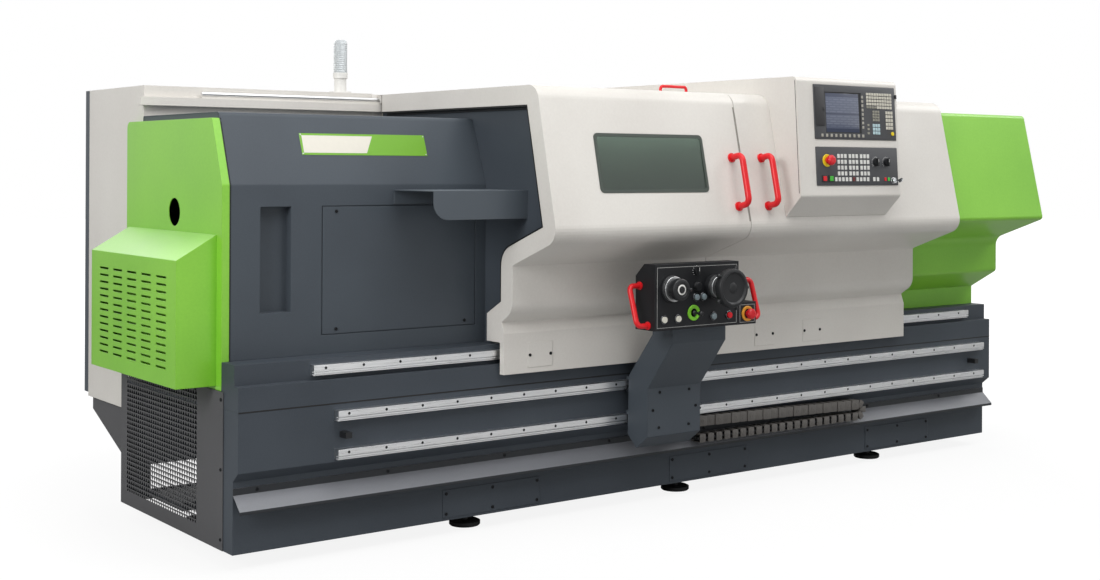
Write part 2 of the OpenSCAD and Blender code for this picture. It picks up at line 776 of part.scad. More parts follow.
// Small plate on a door's skirt that covers the adjustment of a shoe
skirt_plate_w = 112;
skirt_plate_h = 92;
skirt_plate_z = 632;
skirt_plate_t = 1.5;
skirt_plate_set = 163;
skirt_plate_pitch = 283;
skirt_plate_first = 377;
module skirt_plate(x) translate([x, door_wall / 2 - door_skirt_out, skirt_plate_z])
  front_plate(skirt_plate_w, skirt_plate_h, skirt_plate_t + door_wall / 2, 3);
left_end = seam_x - seam_gap / 2;
right_start = seam_x + seam_gap / 2;
window_x = window_start + window_w / 2;
window_corner = 18;
module at_window() on_face(window_x, door_face_y(window_z), window_z, door_lean) children();
module left_door() color("#ddd8d2") place() difference() {
  union() {
    door(left_start, left_end, left_frame, door_frame);
    skirt_plate(left_start + skirt_plate_set);
  }
  at_window() translate([0, 20, 0]) front_plate(window_w, window_h, 40, window_corner);
}
gasket_w = 12;
gasket_t = 9;
glass_t = 6;
glass_lap = 6;
gasket_proud = 2;
glass_seat = gasket_t - gasket_proud - glass_t;
glass_w = window_w - 2 * gasket_w + 2 * glass_lap;
glass_h = window_h - 2 * gasket_w + 2 * glass_lap;
edge_rubber = 6;
edge_rubber_t = 12;
module window_gasket() at_window() difference() {
  translate([0, gasket_t - gasket_proud, 0])
    front_plate(window_w - 2 * slide_gap, window_h - 2 * slide_gap, gasket_t, window_corner);
  translate([0, gasket_t, 0])
    front_plate(window_w - 2 * gasket_w, window_h - 2 * gasket_w, 2 * gasket_t, window_corner - glass_lap);
  translate([0, gasket_t, 0])
    front_plate(glass_w, glass_h, gasket_t - glass_seat, window_corner - glass_lap);
}
module left_seals() color("#17181a") place() {
  window_gasket();
  along_x(left_start, left_start + edge_rubber_t)
    sheet(first(frame_line(left_frame), 5), 0, edge_rubber);
}
module left_window() color("#2f4a42", 0.6) place()
  at_window() translate([0, glass_seat + glass_t, 0])
    front_plate(glass_w - 2 * slide_gap, glass_h - 2 * slide_gap, glass_t, window_corner - glass_lap);

// Bow handle: two feet, two quarter bends and a straight grip, standing on a face
module bow_handle(length, out, d) {
  bend_r = d;
  for (side = [-1, 1]) {
    translate([0, 0, side * length / 2]) front_rod(d / 2, 0, out - bend_r);
    translate([0, 0, side * length / 2]) front_rod(d * 0.75, 0, d / 4);
    translate([0, -(out - bend_r), side * (length / 2 - bend_r)]) rotate([0, 90, 0])
      rotate([0, 0, side > 0 ? 180 : -90]) rotate_extrude(angle = 90) translate([bend_r, 0]) circle(d / 2);
  }
  translate([0, -out, -length / 2 + bend_r]) cylinder(d = d, h = length - 2 * bend_r);
}
handle_set = 54;
left_handle_x = seam_x - handle_set;
right_handle_x = seam_x + 2 * handle_set - 4;
module door_handle(x) on_face(x, door_face_y(handle_z), handle_z, door_lean)
  bow_handle(handle_len, handle_out, handle_d);
module left_handle() color("#d8232a") place() door_handle(left_handle_x);
module right_handle() color("#d8232a") place() door_handle(right_handle_x);

// Grab handle on the left door's roof, beside the seam
roof_handle_len = 135;
roof_handle_out = 30;
roof_handle_d = 12;
roof_handle_y = 0;
roof_handle_set = 32;
module roof_handle() color("#d8232a") place()
  translate([seam_x - roof_handle_len / 2 - roof_handle_set, roof_handle_y, roof_z]) rotate([-90, 0, 90])
    bow_handle(roof_handle_len, roof_handle_out, roof_handle_d);

module right_door() color("#ddd8d2") place() {
  door(right_start, right_end, door_frame, door_frame);
  for (k = [0, 1]) skirt_plate(right_start + skirt_plate_first + k * skirt_plate_pitch);
}

// Control box: a housing that hangs on the right door and reaches back over its roof
box_line = [
  [box_back, roof_z, 0], [box_back, box_top, 0], [-box_out_top, box_top, 20],
  [-box_out_low, box_low, 16], [door_face_y(box_under), box_under, 0], [0, box_under, 0], [0, roof_z, 0]
];
box_lean = atan((box_out_low - box_out_top) / (box_top - box_low));
panel_inset = 4;
panel_side = 91;
panel_x = box_start + panel_side + panel_w / 2;
display_z = 1542;
control_z = 1328;
function box_face_y(z) = -box_out_low + (z - box_low) * tan(box_lean);
module on_box(z) on_face(panel_x, box_face_y(z), z, box_lean) children();
module door_body_outline() polygon(concat(
  rounded(shifted(door_line, -slide_gap)), [[box_back + past, door_low], [roof_rear, door_low]]
));
module control_box() color("#ddd8d2") place() difference() {
  along_x(box_start, box_start + box_w) difference() {
    polygon(rounded(box_line));
    door_body_outline();
  }
  on_box(display_z) translate([0, panel_inset, 0])
    front_plate(panel_w + 2 * slide_gap, display_h + 2 * slide_gap, 2 * panel_inset + past, 2);
  on_box(control_z) translate([0, panel_inset, 0])
    front_plate(panel_w + 2 * slide_gap, control_h + 2 * slide_gap, 2 * panel_inset + past, 2);
}
panel_front = panel_t - panel_inset;
key = 12;
key_pitch = 15;
key_proud = 2;
key_edge = 12;
key_edge_top = 7.5;
number_keys_edge = 9;
side_keys_gap = 34;
screen_gap = 7.5;
field_gap = 8.5;
key_row = key_pitch + 2;
letters_x = panel_w / 2 - key_edge - 9 * key_pitch - key;
letters_z = display_h / 2 - key_edge_top - 3 * (key_pitch + 1) - key;
cursor_x = letters_x + 2 * key_pitch + 2;
cursor_z = letters_z - field_gap - 2 * key - 5 * key_row;
pad_x = panel_w / 2 - number_keys_edge - 2 * key_pitch - key;
pad_z = letters_z - field_gap - 2 * key - 4 * key_row;
side_keys_x = letters_x - side_keys_gap;
screen_w = 225;
screen_h = 165;
screen_x = side_keys_x - screen_gap - screen_w / 2;
screen_z = 12;
// A field of square keys, given its lower left key, columns and rows
module keys(x, z, columns, rows, pitch_x, pitch_z)
  for (c = [0 : columns - 1], r = [0 : rows - 1])
    translate([x + c * pitch_x, -panel_front - key_proud, z + r * pitch_z])
      cube([key, key_proud + past, key]);
module display_panel() color("#4a4b4d") place() on_box(display_z) {
  difference() {
    translate([0, panel_inset, 0]) front_plate(panel_w, display_h, panel_t, 2);
    translate([screen_x, -panel_front + 2, screen_z]) front_plate(screen_w, screen_h, 2 + past, 4);
  }
  keys(screen_x - screen_w / 2 - 3.5, -98, 9, 1, 27, key_pitch);
  keys(side_keys_x, -62, 1, 8, key_pitch, 20);
  keys(letters_x, letters_z, 10, 4, key_pitch, key_pitch + 1);
  keys(cursor_x, cursor_z, 3, 6, key_pitch, key_row);
  keys(pad_x, pad_z, 3, 5, key_pitch, key_row);
}
stop_dx = -180;
stop_dz = 22;
knob_dz = 16;
knob_dx = [104, 168];
knob_r = 14;
knob_shaft_r = 4;
knob_out = 18;
stop_r = 20;
stop_out = 34;
stop_stem_r = 11;
stop_travel = 6;
module control_panel() color("#55565a") place() on_box(control_z) difference() {
  union() {
    translate([0, panel_inset, 0]) front_plate(panel_w, control_h, panel_t, 2);
    translate([stop_dx, 0, stop_dz]) front_rod(stop_r * 1.5, panel_front - past, panel_front + 3);
    for (group = [0 : 2]) keys(-114 + group * 65, -34, 3, 4, key_pitch + 4, key_pitch + 7);
    keys(-116, -62, 10, 1, key_pitch + 4, key_pitch);
    keys(-196, -66, 2, 1, 38, key_pitch);
    keys(106, -62, 2, 1, key_pitch + 6, key_pitch);
    translate([204, 0, -60]) front_rod(11, panel_front - past, panel_front + 14);
  }
  translate([stop_dx, 0, stop_dz]) front_rod(stop_stem_r + slide_gap, -panel_inset - past, panel_front + 4);
  for (x = knob_dx) translate([x, 0, knob_dz])
    front_rod(knob_shaft_r + run_gap, -panel_inset - past, panel_front + past);
}
// Mushroom head of an emergency stop on its stem
module stop_head(base, travel) {
  front_rod(stop_stem_r, base - 2, base + travel + 4);
  translate([0, -base - travel - 3, 0]) rotate([90, 0, 0]) rotate_extrude() polygon([
    [0, 0], [stop_r - 4, 0], [stop_r, 5], [stop_r, 15], [stop_r - 4, 21], [stop_r - 10, 23], [0, 23]
  ]);
}
module panel_stop() color("#d8232a") place() on_box(control_z) translate([stop_dx, 0, stop_dz])
  stop_head(panel_front + 3, stop_travel);
// Pointer knob on its shaft
module pointer_knob(base, r, out, shaft) {
  front_rod(shaft, base - 6, base + past);
  front_rod(r, base + slide_gap, base + out * 0.6);
  translate([-r * 0.25, -base - out, -r * 1.15]) cube([r * 0.5, out - 1, r * 2.3]);
}
module spindle_override() color("#141416") place() on_box(control_z) translate([knob_dx[0], 0, knob_dz])
  pointer_knob(panel_front, knob_r, knob_out, knob_shaft_r);
module feed_override() color("#141416") place() on_box(control_z) translate([knob_dx[1], 0, knob_dz])
  pointer_knob(panel_front, knob_r, knob_out, knob_shaft_r);

// Bulkhead: left wall of the working zone, inside the doors' end frame
bulk_gap = 15;
bulk_t = 6;
bulk_line = shifted(frame_line(left_frame), bulk_gap);
bulk_hole_r = 125;
module bulkhead() color("#3a4047") place() difference() {
  along_x(head_end, head_end + bulk_t) polygon(concat(
    rounded(bulk_line),
    [[bulk_line[6][0], beam_top], [beam_depth, beam_top], [beam_depth, base_top], [cab_front, base_top]],
    [[cab_front, top_beam_low - past], [cab_front - top_beam_depth - past, top_beam_low - past]]
  ));
  translate([head_end - past, axis_y, axis_z]) rotate([0, 90, 0])
    cylinder(r = bulk_hole_r, h = bulk_t + 2 * past);
  along_x(head_end - past, head_end + bulk_t + past) bed_room();
}
// Room for the bed where it passes through the bulkhead
bed_front = 330;
bed_rear = 714;
bed_clear = 6;
module bed_room() translate([bed_front - bed_clear, base_top - past])
  square([bed_rear - bed_front + 2 * bed_clear, way_z + way_ridge + 2 * bed_clear - base_top]);

// Rear guard: back wall of the working zone with upright folds
guard_start = head_end + bulk_t;
upright_count = 5;
upright_w = 60;
upright_deep = 40;
guard_top = top_beam_z;
upright_pitch = (tail_end - guard_start - upright_w) / (upright_count - 1);
module rear_guard() color("#d2cdc6") place() {
  block([guard_start, cab_front, base_top], [tail_end, cab_front + sheet_t, guard_top]);
  for (k = [0 : upright_count - 1]) translate([guard_start + k * upright_pitch, cab_front, base_top])
    cube([upright_w, upright_deep, guard_top - base_top]);
}

// Tail cover: closes the right end, inside the right door's outline
tail_foot_y = 97;
tail_foot_z = 756;
tail_knee_z = 838;
tail_rear = cab_front - top_beam_depth;
tail_line = concat(
  [[tail_rear, roof_z - tail_inset, 0]],
  [for (i = [1 : 3]) shifted(door_line, tail_inset)[i]],
  [[tail_inset - middle_out, tail_knee_z, 20], [tail_foot_y, tail_foot_z, 6], [tail_foot_y, beam_top, 0]]
);
module tail_cover() color("#8bc653") place() {
  along_x(tail_start, tail_end) sheet(tail_line, 0, sheet_t);
  along_x(tail_end - sheet_t, tail_end) polygon(concat(
    rounded(tail_line),
    [[beam_depth, beam_top], [beam_depth, base_top], [cab_front, base_top]],
    [[cab_front, top_beam_low], [tail_rear, top_beam_low]]
  ));
}

// Pendant: a folded column on two rails and the box with the hand controls
column_end = column_start + column_w;
column_back = 35;
column_back_lean = 5;
column_keel = 86;
column_keel_z = 248;
column_low = 296;
column_arm_z = 478;
column_neck = 290;
column_neck_z = 665;
column_back_z = 519;
column_neck_back = 178;
column_neck_back_z = 690;
column_line = [
  [-column_back, column_low], [-column_keel, column_keel_z], [-column_out, column_low],
  [-column_out, column_arm_z], [-column_neck, column_neck_z], [-column_neck, pendant_low],
  [-column_neck_back, pendant_low], [-column_neck_back, column_neck_back_z],
  [-column_back - column_back_lean, column_back_z]
];
carrier_wall = 12;
carrier_gap = 2;
carrier_front = column_back + column_back_lean + past;
carrier_inset = 20;
column_plate = 3;
module pendant_carriage() color("#434950") place() difference() {
  union() {
    along_x(column_start, column_end) polygon(column_line);
    block([column_start + 2, -column_out - column_plate, column_low + 2],
      [column_end - 2, -column_out + past, column_arm_z + 8]);
    for (z = [rail_high, rail_low])
      block([column_start + carrier_inset, -carrier_front, z - rail_h / 2 - carrier_wall],
        [column_end - carrier_inset, -carrier_gap, z + rail_h / 2 + carrier_wall]);
  }
  for (z = [rail_high, rail_low])
    block([column_start - past, -rail_out - slide_gap, z - rail_h / 2 - slide_gap],
      [column_end + past, 0, z + rail_h / 2 + slide_gap]);
}
pendant_end = pendant_start + pendant_w;
pendant_top = pendant_low + pendant_h;
pendant_back = pendant_out - pendant_depth;
pendant_chamfer_y = 48;
pendant_chamfer_z = 45;
stop_box_h = 84;
stop_rear_h = 178;
stop_rear_out = 300;
neck_block = 40;
left_wheel_set = 78;
right_wheel_set = 287;
wheel_rise = 151;
joystick_set = 188;
joystick_rise = 58;
start_set = 42;
hold_set = 110;
stop_set = 366;
button_rise = 40;
grey_set = 200;
grey_pitch = 36;
grey_rise = 115;
mode_set = 203;
mode_rise = 212;
step_rise = 155;
step_r = 14;
joystick_ring_r = 24;
wheel_at_left = [pendant_start + left_wheel_set, pendant_low + wheel_rise];
wheel_at_right = [pendant_start + right_wheel_set, pendant_low + wheel_rise];
joystick_at = [pendant_start + joystick_set, pendant_low + joystick_rise];
start_at = [pendant_start + start_set, pendant_low + button_rise];
hold_at = [pendant_start + hold_set, pendant_low + button_rise];
lamp_at = [pendant_start + right_wheel_set, pendant_low + button_rise];
stop_at = [pendant_start + stop_set, pendant_low + button_rise];
grey_at = [for (k = [0, 1]) [pendant_start + grey_set + k * grey_pitch, pendant_low + grey_rise]];
fixed_at = concat([hold_at, lamp_at], grey_at);
mode_at = [pendant_start + mode_set, pendant_low + mode_rise];
step_at = [pendant_start + mode_set, pendant_low + step_rise];
pendant_stop_at = [pendant_end + stop_box_w / 2, pendant_low + button_rise];
button_r = 11;
button_travel = 4;
button_deep = 12;
bezel_r = 15;
bezel_t = 4;
wheel_shaft_r = 10;
wheel_shaft_deep = 40;
joystick_ball_r = 13;
joystick_len = 62;
module on_pendant(at) translate([at[0], -pendant_out, at[1]]) children();
module pendant_box() color("#1e1e20") place() difference() {
  union() {
    along_x(pendant_start, pendant_end) polygon([
      [-pendant_out, pendant_low], [-pendant_out, pendant_top],
      [-pendant_back - pendant_chamfer_y, pendant_top], [-pendant_back, pendant_top - pendant_chamfer_z],
      [-pendant_back, pendant_low]
    ]);
    block([pendant_end - past, -pendant_out, pendant_low],
      [pendant_end + stop_box_w, -pendant_back, pendant_low + stop_box_h]);
    block([pendant_end - past, -stop_rear_out, pendant_low],
      [pendant_end + stop_box_w, -pendant_back, pendant_low + stop_rear_h]);
    block([column_start, -pendant_back - past, pendant_low],
      [column_end, -column_neck_back, pendant_low + neck_block]);
    for (at = concat([start_at, stop_at], fixed_at)) on_pendant(at) front_rod(bezel_r, -past, bezel_t);
    for (at = fixed_at) on_pendant(at) front_rod(button_r, 0, bezel_t + 5);
    on_pendant(joystick_at) front_rod(joystick_ring_r, -past, 3);
    on_pendant(pendant_stop_at) front_rod(stop_r * 1.4, -past, 3);
    on_pendant(step_at) front_rod(step_r, -past, step_r);
  }
  for (at = [start_at, stop_at])
    on_pendant(at) front_rod(button_r + slide_gap, -button_deep - button_travel, bezel_t + past);
  for (at = [wheel_at_left, wheel_at_right])
    on_pendant(at) front_rod(wheel_shaft_r + run_gap, -wheel_shaft_deep - past, past);
  on_pendant(joystick_at) translate([0, joystick_ball_r, 0]) sphere(joystick_ball_r + slide_gap);
  on_pendant(joystick_at) translate([0, joystick_ball_r, 0]) rotate([90, 0, 0])
    cylinder(r1 = 2, r2 = 22, h = joystick_ball_r + 4);
  on_pendant(mode_at) front_rod(knob_shaft_r + run_gap, -12, past);
  on_pendant(pendant_stop_at) front_rod(stop_stem_r + slide_gap, -20, 4);
}
// Side handles of the pendant lean forward towards their lower ends
grip_len = 150;
grip_out = 52;
grip_d = 20;
grip_lean = 18;
grip_y = 300;
grip_z = 816;
module pendant_handles() color("#d8232a") place() {
  translate([pendant_start, -grip_y, grip_z]) rotate([-grip_lean, 0, 0]) rotate([0, 0, -90])
    bow_handle(grip_len, grip_out, grip_d);
  translate([pendant_end + stop_box_w, -grip_y, grip_z]) rotate([-grip_lean, 0, 0]) rotate([0, 0, 90])
    bow_handle(grip_len, grip_out, grip_d);
}
dial_ring_t = 22;
dial_hub_r = 35;
dial_hub_out = 60;
crank_r = 7;
module left_handwheel() color("#1a1a1c") place() on_pendant(wheel_at_left) {
  front_rod(wheel_shaft_r, -wheel_shaft_deep, past);
  front_rod(dial_ring_r, slide_gap, dial_ring_t);
  front_rod(dial_hub_r - 6, dial_ring_t - past, dial_hub_out - 24);
  front_rod(dial_hub_r, dial_hub_out - 25, dial_hub_out);
  translate([dial_hub_r * 0.6, 0, 0]) front_rod(crank_r, dial_hub_out - past, dial_hub_out + 18);
}
wheel_skirt_r = 45;
wheel_skirt_t = 40;
wheel_rim_t = 34;
peg_count = 5;
module right_handwheel() color("#1a1a1c") place() on_pendant(wheel_at_right) {
  front_rod(wheel_shaft_r, -wheel_shaft_deep, past);
  front_rod(wheel_skirt_r, slide_gap, wheel_skirt_t);
  front_rod(wheel_skirt_r * 0.6, wheel_skirt_t - past, wheel_out - wheel_rim_t + past);
  difference() {
    front_rod(wheel_r, wheel_out - wheel_rim_t, wheel_out);
    front_rod(wheel_r - 14, wheel_out - 8, wheel_out + past);
  }
  for (k = [0 : peg_count - 1]) rotate([0, k * 360 / peg_count, 0])
    translate([wheel_r - 8, -wheel_out + wheel_rim_t / 2, 0]) rotate([0, 90, 0]) cylinder(r = 7, h = 30);
}
module joystick() color("#1c1c1e") place() on_pendant(joystick_at) {
  translate([0, joystick_ball_r, 0]) sphere(joystick_ball_r);
  front_rod(5, -joystick_ball_r, joystick_len);
  front_rod(9, joystick_len - 26, joystick_len);
}
module mode_dial() color("#141416") place() on_pendant(mode_at) pointer_knob(0, 13, 16, knob_shaft_r);
module push_button(at) on_pendant(at) front_rod(button_r, -button_deep, bezel_t + button_travel + 2);
module start_button() color("#e4e0d4") place() push_button(start_at);
module stop_button() color("#c8242a") place() push_button(stop_at);
module pendant_stop() color("#d8232a") place() on_pendant(pendant_stop_at) stop_head(3, stop_travel);

// Energy chain: a lower run on the sill, a turn and an upper run to the pendant
chain_gap = 0.8;
chain_bend_r = 10;
chain_front = 46;
chain_start = 1930;
chain_moving = column_end + slide_gap;
chain_end = chain_moving + chain_links * link_pitch;
chain_low_links = floor((chain_end - chain_start) / link_pitch);
sill_slope = (sill_high - sill_low) / (skirt_back + sill_out);
chain_rear = link_w - chain_front;
sill_under_chain = sill_low + (chain_rear + sill_out) * sill_slope + sheet_t * norm([1, sill_slope]);
chain_low = sill_under_chain + slide_gap;
chain_turn = chain_low + link_h + chain_bend_r;
link_wall = 5;
module chain_link() difference() {
  translate([chain_gap / 2, -chain_front, 0]) cube([link_pitch - chain_gap, link_w, link_h]);
  translate([-past, link_wall - chain_front, link_wall])
    cube([link_pitch + 2 * past, link_w - 2 * link_wall, link_h - 2 * link_wall]);
}
module energy_chain() color("#33353a") place() {
  for (k = [1 : chain_low_links]) translate([chain_end - k * link_pitch, 0, chain_low]) chain_link();
  for (k = [1 : chain_links])
    translate([chain_end - k * link_pitch, 0, chain_turn + chain_bend_r]) chain_link();
  for (part = [-89, 1])
    translate([chain_end, -chain_front, chain_turn]) rotate([-90, 0, 0]) rotate([0, 0, part])
      rotate_extrude(angle = 88) translate([chain_bend_r, 0]) square([link_h, link_w]);
}

// Bed: two ways on webs with a trough between them
way_ridge = 14;
ridge_half = 18;
ridge_y = 385;
bed_start = 200;
bed_tail_gap = 70;
bed_end = tail_end - bed_tail_gap;
bed_half = [
  [0, base_top], [0, base_top + 50], [40, base_top + 90], [40, way_z - 60], [10, way_z - 40], [10, way_z],
  [120, way_z], [120, way_z - 60], [90, way_z - 90], [90, base_top + 130]
];
bed_line = concat(
  [for (p = bed_half) [bed_front + p[0], p[1]]], [for (p = reversed(bed_half)) [bed_rear - p[0], p[1]]]
);
bed_windows = 6;
bed_window_w = 240;
bed_window_h = 70;
bed_window_pitch = 420;
module ridge(grow) polygon([
  [ridge_y - ridge_half - grow, way_z - past], [ridge_y - ridge_half - grow, way_z],
  [ridge_y - 4 - grow, way_z + way_ridge + grow], [ridge_y + 4 + grow, way_z + way_ridge + grow],
  [ridge_y + ridge_half + grow, way_z], [ridge_y + ridge_half + grow, way_z - past]
]);
bed_window_x = guard_start + 120;
bed_window_z = base_top + 150;
module bed_casting() color("#5a6065") place() difference() {
  union() {
    along_x(bed_start, bed_end) polygon(bed_line);
    along_x(head_end + bulk_t, bed_end) ridge(0);
  }
  for (k = [0 : bed_windows - 1])
    translate([bed_window_x + k * bed_window_pitch, bed_front - past, bed_window_z])
      cube([bed_window_w, bed_rear - bed_front + 2 * past, bed_window_h]);
}

// Headstock casting round the spindle
head_cast = [330, 1000];
head_cast_half = 175;
head_cast_round = 165;
module headstock_casting() color("#5a6065") place() difference() {
  union() {
    block([head_cast[0], axis_y - head_cast_half, way_z], [head_cast[1], axis_y + head_cast_half, axis_z]);
    translate([head_cast[0], axis_y, axis_z]) rotate([0, 90, 0])
      cylinder(r = head_cast_round, h = head_cast[1] - head_cast[0]);
  }
  translate([head_cast[0] - past, axis_y, axis_z]) rotate([0, 90, 0])
    cylinder(r = spindle_r + run_gap, h = head_cast[1] - head_cast[0] + 2 * past);
}
spindle_start = 150;
nose_r = 115;
nose_t = 28;
nose_start = head_end + bulk_t + 6;
pulley_r = 150;
pulley = [180, 290];
chuck_start = nose_start + nose_t;
module on_axis(x) translate([x, axis_y, axis_z]) rotate([0, 90, 0]) children();
module spindle() color("#b9bcc0") place() difference() {
  union() {
    on_axis(spindle_start) cylinder(r = spindle_r, h = chuck_start - spindle_start);
    on_axis(nose_start) cylinder(r = nose_r, h = nose_t);
    on_axis(pulley[0]) cylinder(r = pulley_r, h = pulley[1] - pulley[0]);
  }
  on_axis(spindle_start - past) cylinder(r = spindle_bore_r, h = chuck_start - spindle_start + 2 * past);
  for (k = [0 : 4]) on_axis(pulley[0] + 10 + k * 20) difference() {
    cylinder(r = pulley_r + past, h = 12);
    cylinder(r = pulley_r - 10, h = 12);
  }
}
// Chuck: three stepped jaws in radial ways
chuck_bore_r = 52;
jaw_w = 44;
jaw_deep = 22;
jaw_in = 70;
jaw_len = 105;
jaw_tall = 70;
chuck_end = chuck_start + chuck_len;
module chuck_body() color("#a9adb2") place() difference() {
  on_axis(chuck_start) cylinder(r = chuck_r, h = chuck_len);
  on_axis(chuck_start - past) cylinder(r = chuck_bore_r, h = chuck_len + 2 * past);
  for (k = [0 : 2]) translate([0, axis_y, axis_z]) rotate([k * 120, 0, 0])
    block([chuck_end - jaw_deep, -jaw_w / 2, chuck_bore_r / 2],
      [chuck_end + past, jaw_w / 2, chuck_r + past]);
}
module jaw(k) color("#8f9398") place() translate([0, axis_y, axis_z]) rotate([k * 120, 0, 0]) {
  block([chuck_end - jaw_deep + slide_gap, -jaw_w / 2 + slide_gap, jaw_in],
    [chuck_end + jaw_tall / 3, jaw_w / 2 - slide_gap, jaw_in + jaw_len]);
  block([chuck_end, -jaw_w / 2 + slide_gap, jaw_in],
    [chuck_end + jaw_tall, jaw_w / 2 - slide_gap, jaw_in + jaw_len / 3]);
  block([chuck_end, -jaw_w / 2 + slide_gap, jaw_in],
    [chuck_end + jaw_tall * 2 / 3, jaw_w / 2 - slide_gap, jaw_in + jaw_len * 2 / 3]);
}

// Saddle, cross slide and tool post
saddle_h = 70;
saddle_over = 20;
saddle_top = way_z + saddle_h;
cross_w = 230;
cross_h = 60;
cross_len = 430;
cross_front = 330;
dovetail = 20;
cross_x = saddle_start + saddle_len / 2;
module saddle() color("#6a7076") place() difference() {
  union() {
    block([saddle_start, bed_front - saddle_over, way_z + slide_gap],
      [saddle_start + saddle_len, bed_rear + saddle_over, saddle_top]);
    along_y(bed_front - saddle_over, bed_rear + saddle_over) mirror([0, 1]) dovetail_outline(0);
  }
  along_x(saddle_start - past, saddle_start + saddle_len + past) ridge(slide_gap);
}
// Dovetail that carries the cross slide on the saddle
module dovetail_outline(grow) translate([cross_x, saddle_top - past]) polygon([
  [-cross_w / 4 - grow, 0], [-cross_w / 4 - dovetail / 2 - grow, dovetail + past + grow],
  [cross_w / 4 + dovetail / 2 + grow, dovetail + past + grow], [cross_w / 4 + grow, 0]
]);
module cross_slide() color("#7b8187") place() difference() {
  block([cross_x - cross_w / 2, cross_front, saddle_top + slide_gap],
    [cross_x + cross_w / 2, cross_front + cross_len, saddle_top + cross_h]);
  along_y(cross_front - past, cross_front + cross_len + past) mirror([0, 1]) dovetail_outline(slide_gap);
}
post_w = 150;
post_y = cross_front + 95;
tool_w = 25;
tool_out = 30;
clamp_gap = 10;
clamp_h = 40;
post_pin_r = 30;
post_low = saddle_top + cross_h;
tool_z = axis_z - post_low - tool_w;
post_core = post_w - 2 * tool_w;
module tool_post() color("#8d9297") place() translate([cross_x, post_y, post_low]) {
  difference() {
    block([-post_w / 2, -post_w / 2, slide_gap], [post_w / 2, post_w / 2, tool_z + tool_w + clamp_h]);
    difference() {
      block([-post_w, -post_w, tool_z], [post_w, post_w, tool_z + tool_w + clamp_gap]);
      block([-post_core / 2, -post_core / 2, 0], [post_core / 2, post_core / 2, axis_z]);
    }
  }
  for (side = [0 : 3]) rotate([0, 0, side * 90])
    block([post_core / 2 - past, -post_w / 2 - tool_out, tool_z - past],
      [post_core / 2 + tool_w - past, post_core / 2 - past, tool_z + tool_w]);
  cylinder(r = post_pin_r, h = 2 * slide_gap);
}

// Tailstock and its quill with a fixed centre
tailstock_len = 400;
tailstock_half = 150;
tailstock_r = 120;
quill_out = 130;
centre_len = 70;
module tailstock() color("#5f656b") place() difference() {
  union() {
    block([tailstock_start, axis_y - tailstock_half, way_z + slide_gap],
      [tailstock_start + tailstock_len, axis_y + tailstock_half, way_z + 90]);
    block([tailstock_start + 30, axis_y - tailstock_half / 2, way_z + 80],
      [tailstock_start + tailstock_len - 30, axis_y + tailstock_half / 2, axis_z]);
    on_axis(tailstock_start) cylinder(r = tailstock_r, h = tailstock_len);
  }
  on_axis(tailstock_start - past) cylinder(r = quill_r + run_gap, h = tailstock_len - 40);
  along_x(tailstock_start - past, tailstock_start + tailstock_len + past) ridge(slide_gap);
}
module quill() color("#c6c9cc") place() {
  on_axis(tailstock_start - quill_out) cylinder(r = quill_r, h = quill_out + tailstock_len * 0.6);
  on_axis(tailstock_start - quill_out - centre_len) cylinder(r1 = 1, r2 = quill_r * 0.7, h = centre_len);
}

base_frame();
bed_casting();
door_beam();
door_guides();
pendant_rails();
carriage_stops();
chain_sill();
access_plates();
levelling_feet();
headstock_casting();
headstock_cover();
service_panel();
bulkhead();
tool_shelf();
end_cover();
vent_box();
mesh_guard();
cabinet_shell();
cabinet_bracket();
drive_modules();
cabinet_door();
signal_tower();
signal_lamp();
top_beam();
rear_guard();
tail_cover();
energy_chain();
left_door();
left_window();
left_seals();
left_handle();
roof_handle();
right_door();
right_handle();
control_box();
display_panel();
control_panel();
panel_stop();
spindle_override();
feed_override();
pendant_carriage();
pendant_box();
pendant_handles();
left_handwheel();
right_handwheel();
joystick();
mode_dial();
start_button();
stop_button();
pendant_stop();
spindle();
chuck_body();
jaw(0);  // jaw_1
jaw(1);  // jaw_2
jaw(2);  // jaw_3
saddle();
cross_slide();
tool_post();
tailstock();
quill();
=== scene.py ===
"""Looks of a CNC turning lathe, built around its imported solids."""
import math

import bpy
from mathutils import Matrix, Vector


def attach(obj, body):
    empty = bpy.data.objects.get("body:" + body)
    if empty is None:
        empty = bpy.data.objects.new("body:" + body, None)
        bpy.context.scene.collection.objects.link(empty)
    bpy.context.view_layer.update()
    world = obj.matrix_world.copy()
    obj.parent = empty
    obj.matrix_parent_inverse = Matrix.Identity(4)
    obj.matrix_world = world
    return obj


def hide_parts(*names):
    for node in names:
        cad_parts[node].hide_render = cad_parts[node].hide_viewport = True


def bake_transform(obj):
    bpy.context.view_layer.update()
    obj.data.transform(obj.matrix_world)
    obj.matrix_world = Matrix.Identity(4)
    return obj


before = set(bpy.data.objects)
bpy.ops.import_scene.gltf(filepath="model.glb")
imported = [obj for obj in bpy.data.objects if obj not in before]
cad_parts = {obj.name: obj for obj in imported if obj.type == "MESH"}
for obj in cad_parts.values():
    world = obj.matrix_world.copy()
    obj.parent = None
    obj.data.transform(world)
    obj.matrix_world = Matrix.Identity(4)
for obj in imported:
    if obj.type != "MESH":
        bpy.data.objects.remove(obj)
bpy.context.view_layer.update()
bpy.ops.object.select_all(action="DESELECT")


# Base frame
# A welded steel base with a set-back skirt and screwed access plates, and the door beam and the bulkhead
# bolted on it. All are powder coated dark grey: a finely textured coat, soft edges and a low, even sheen.
def colour(code):
    """A written sRGB colour as a linear one."""
    parts = [int(code[i:i + 2], 16) / 255 for i in (1, 3, 5)]
    return tuple(c / 12.92 if c <= 0.04045 else ((c + 0.055) / 1.055) ** 2.4 for c in parts) + (1.0,)


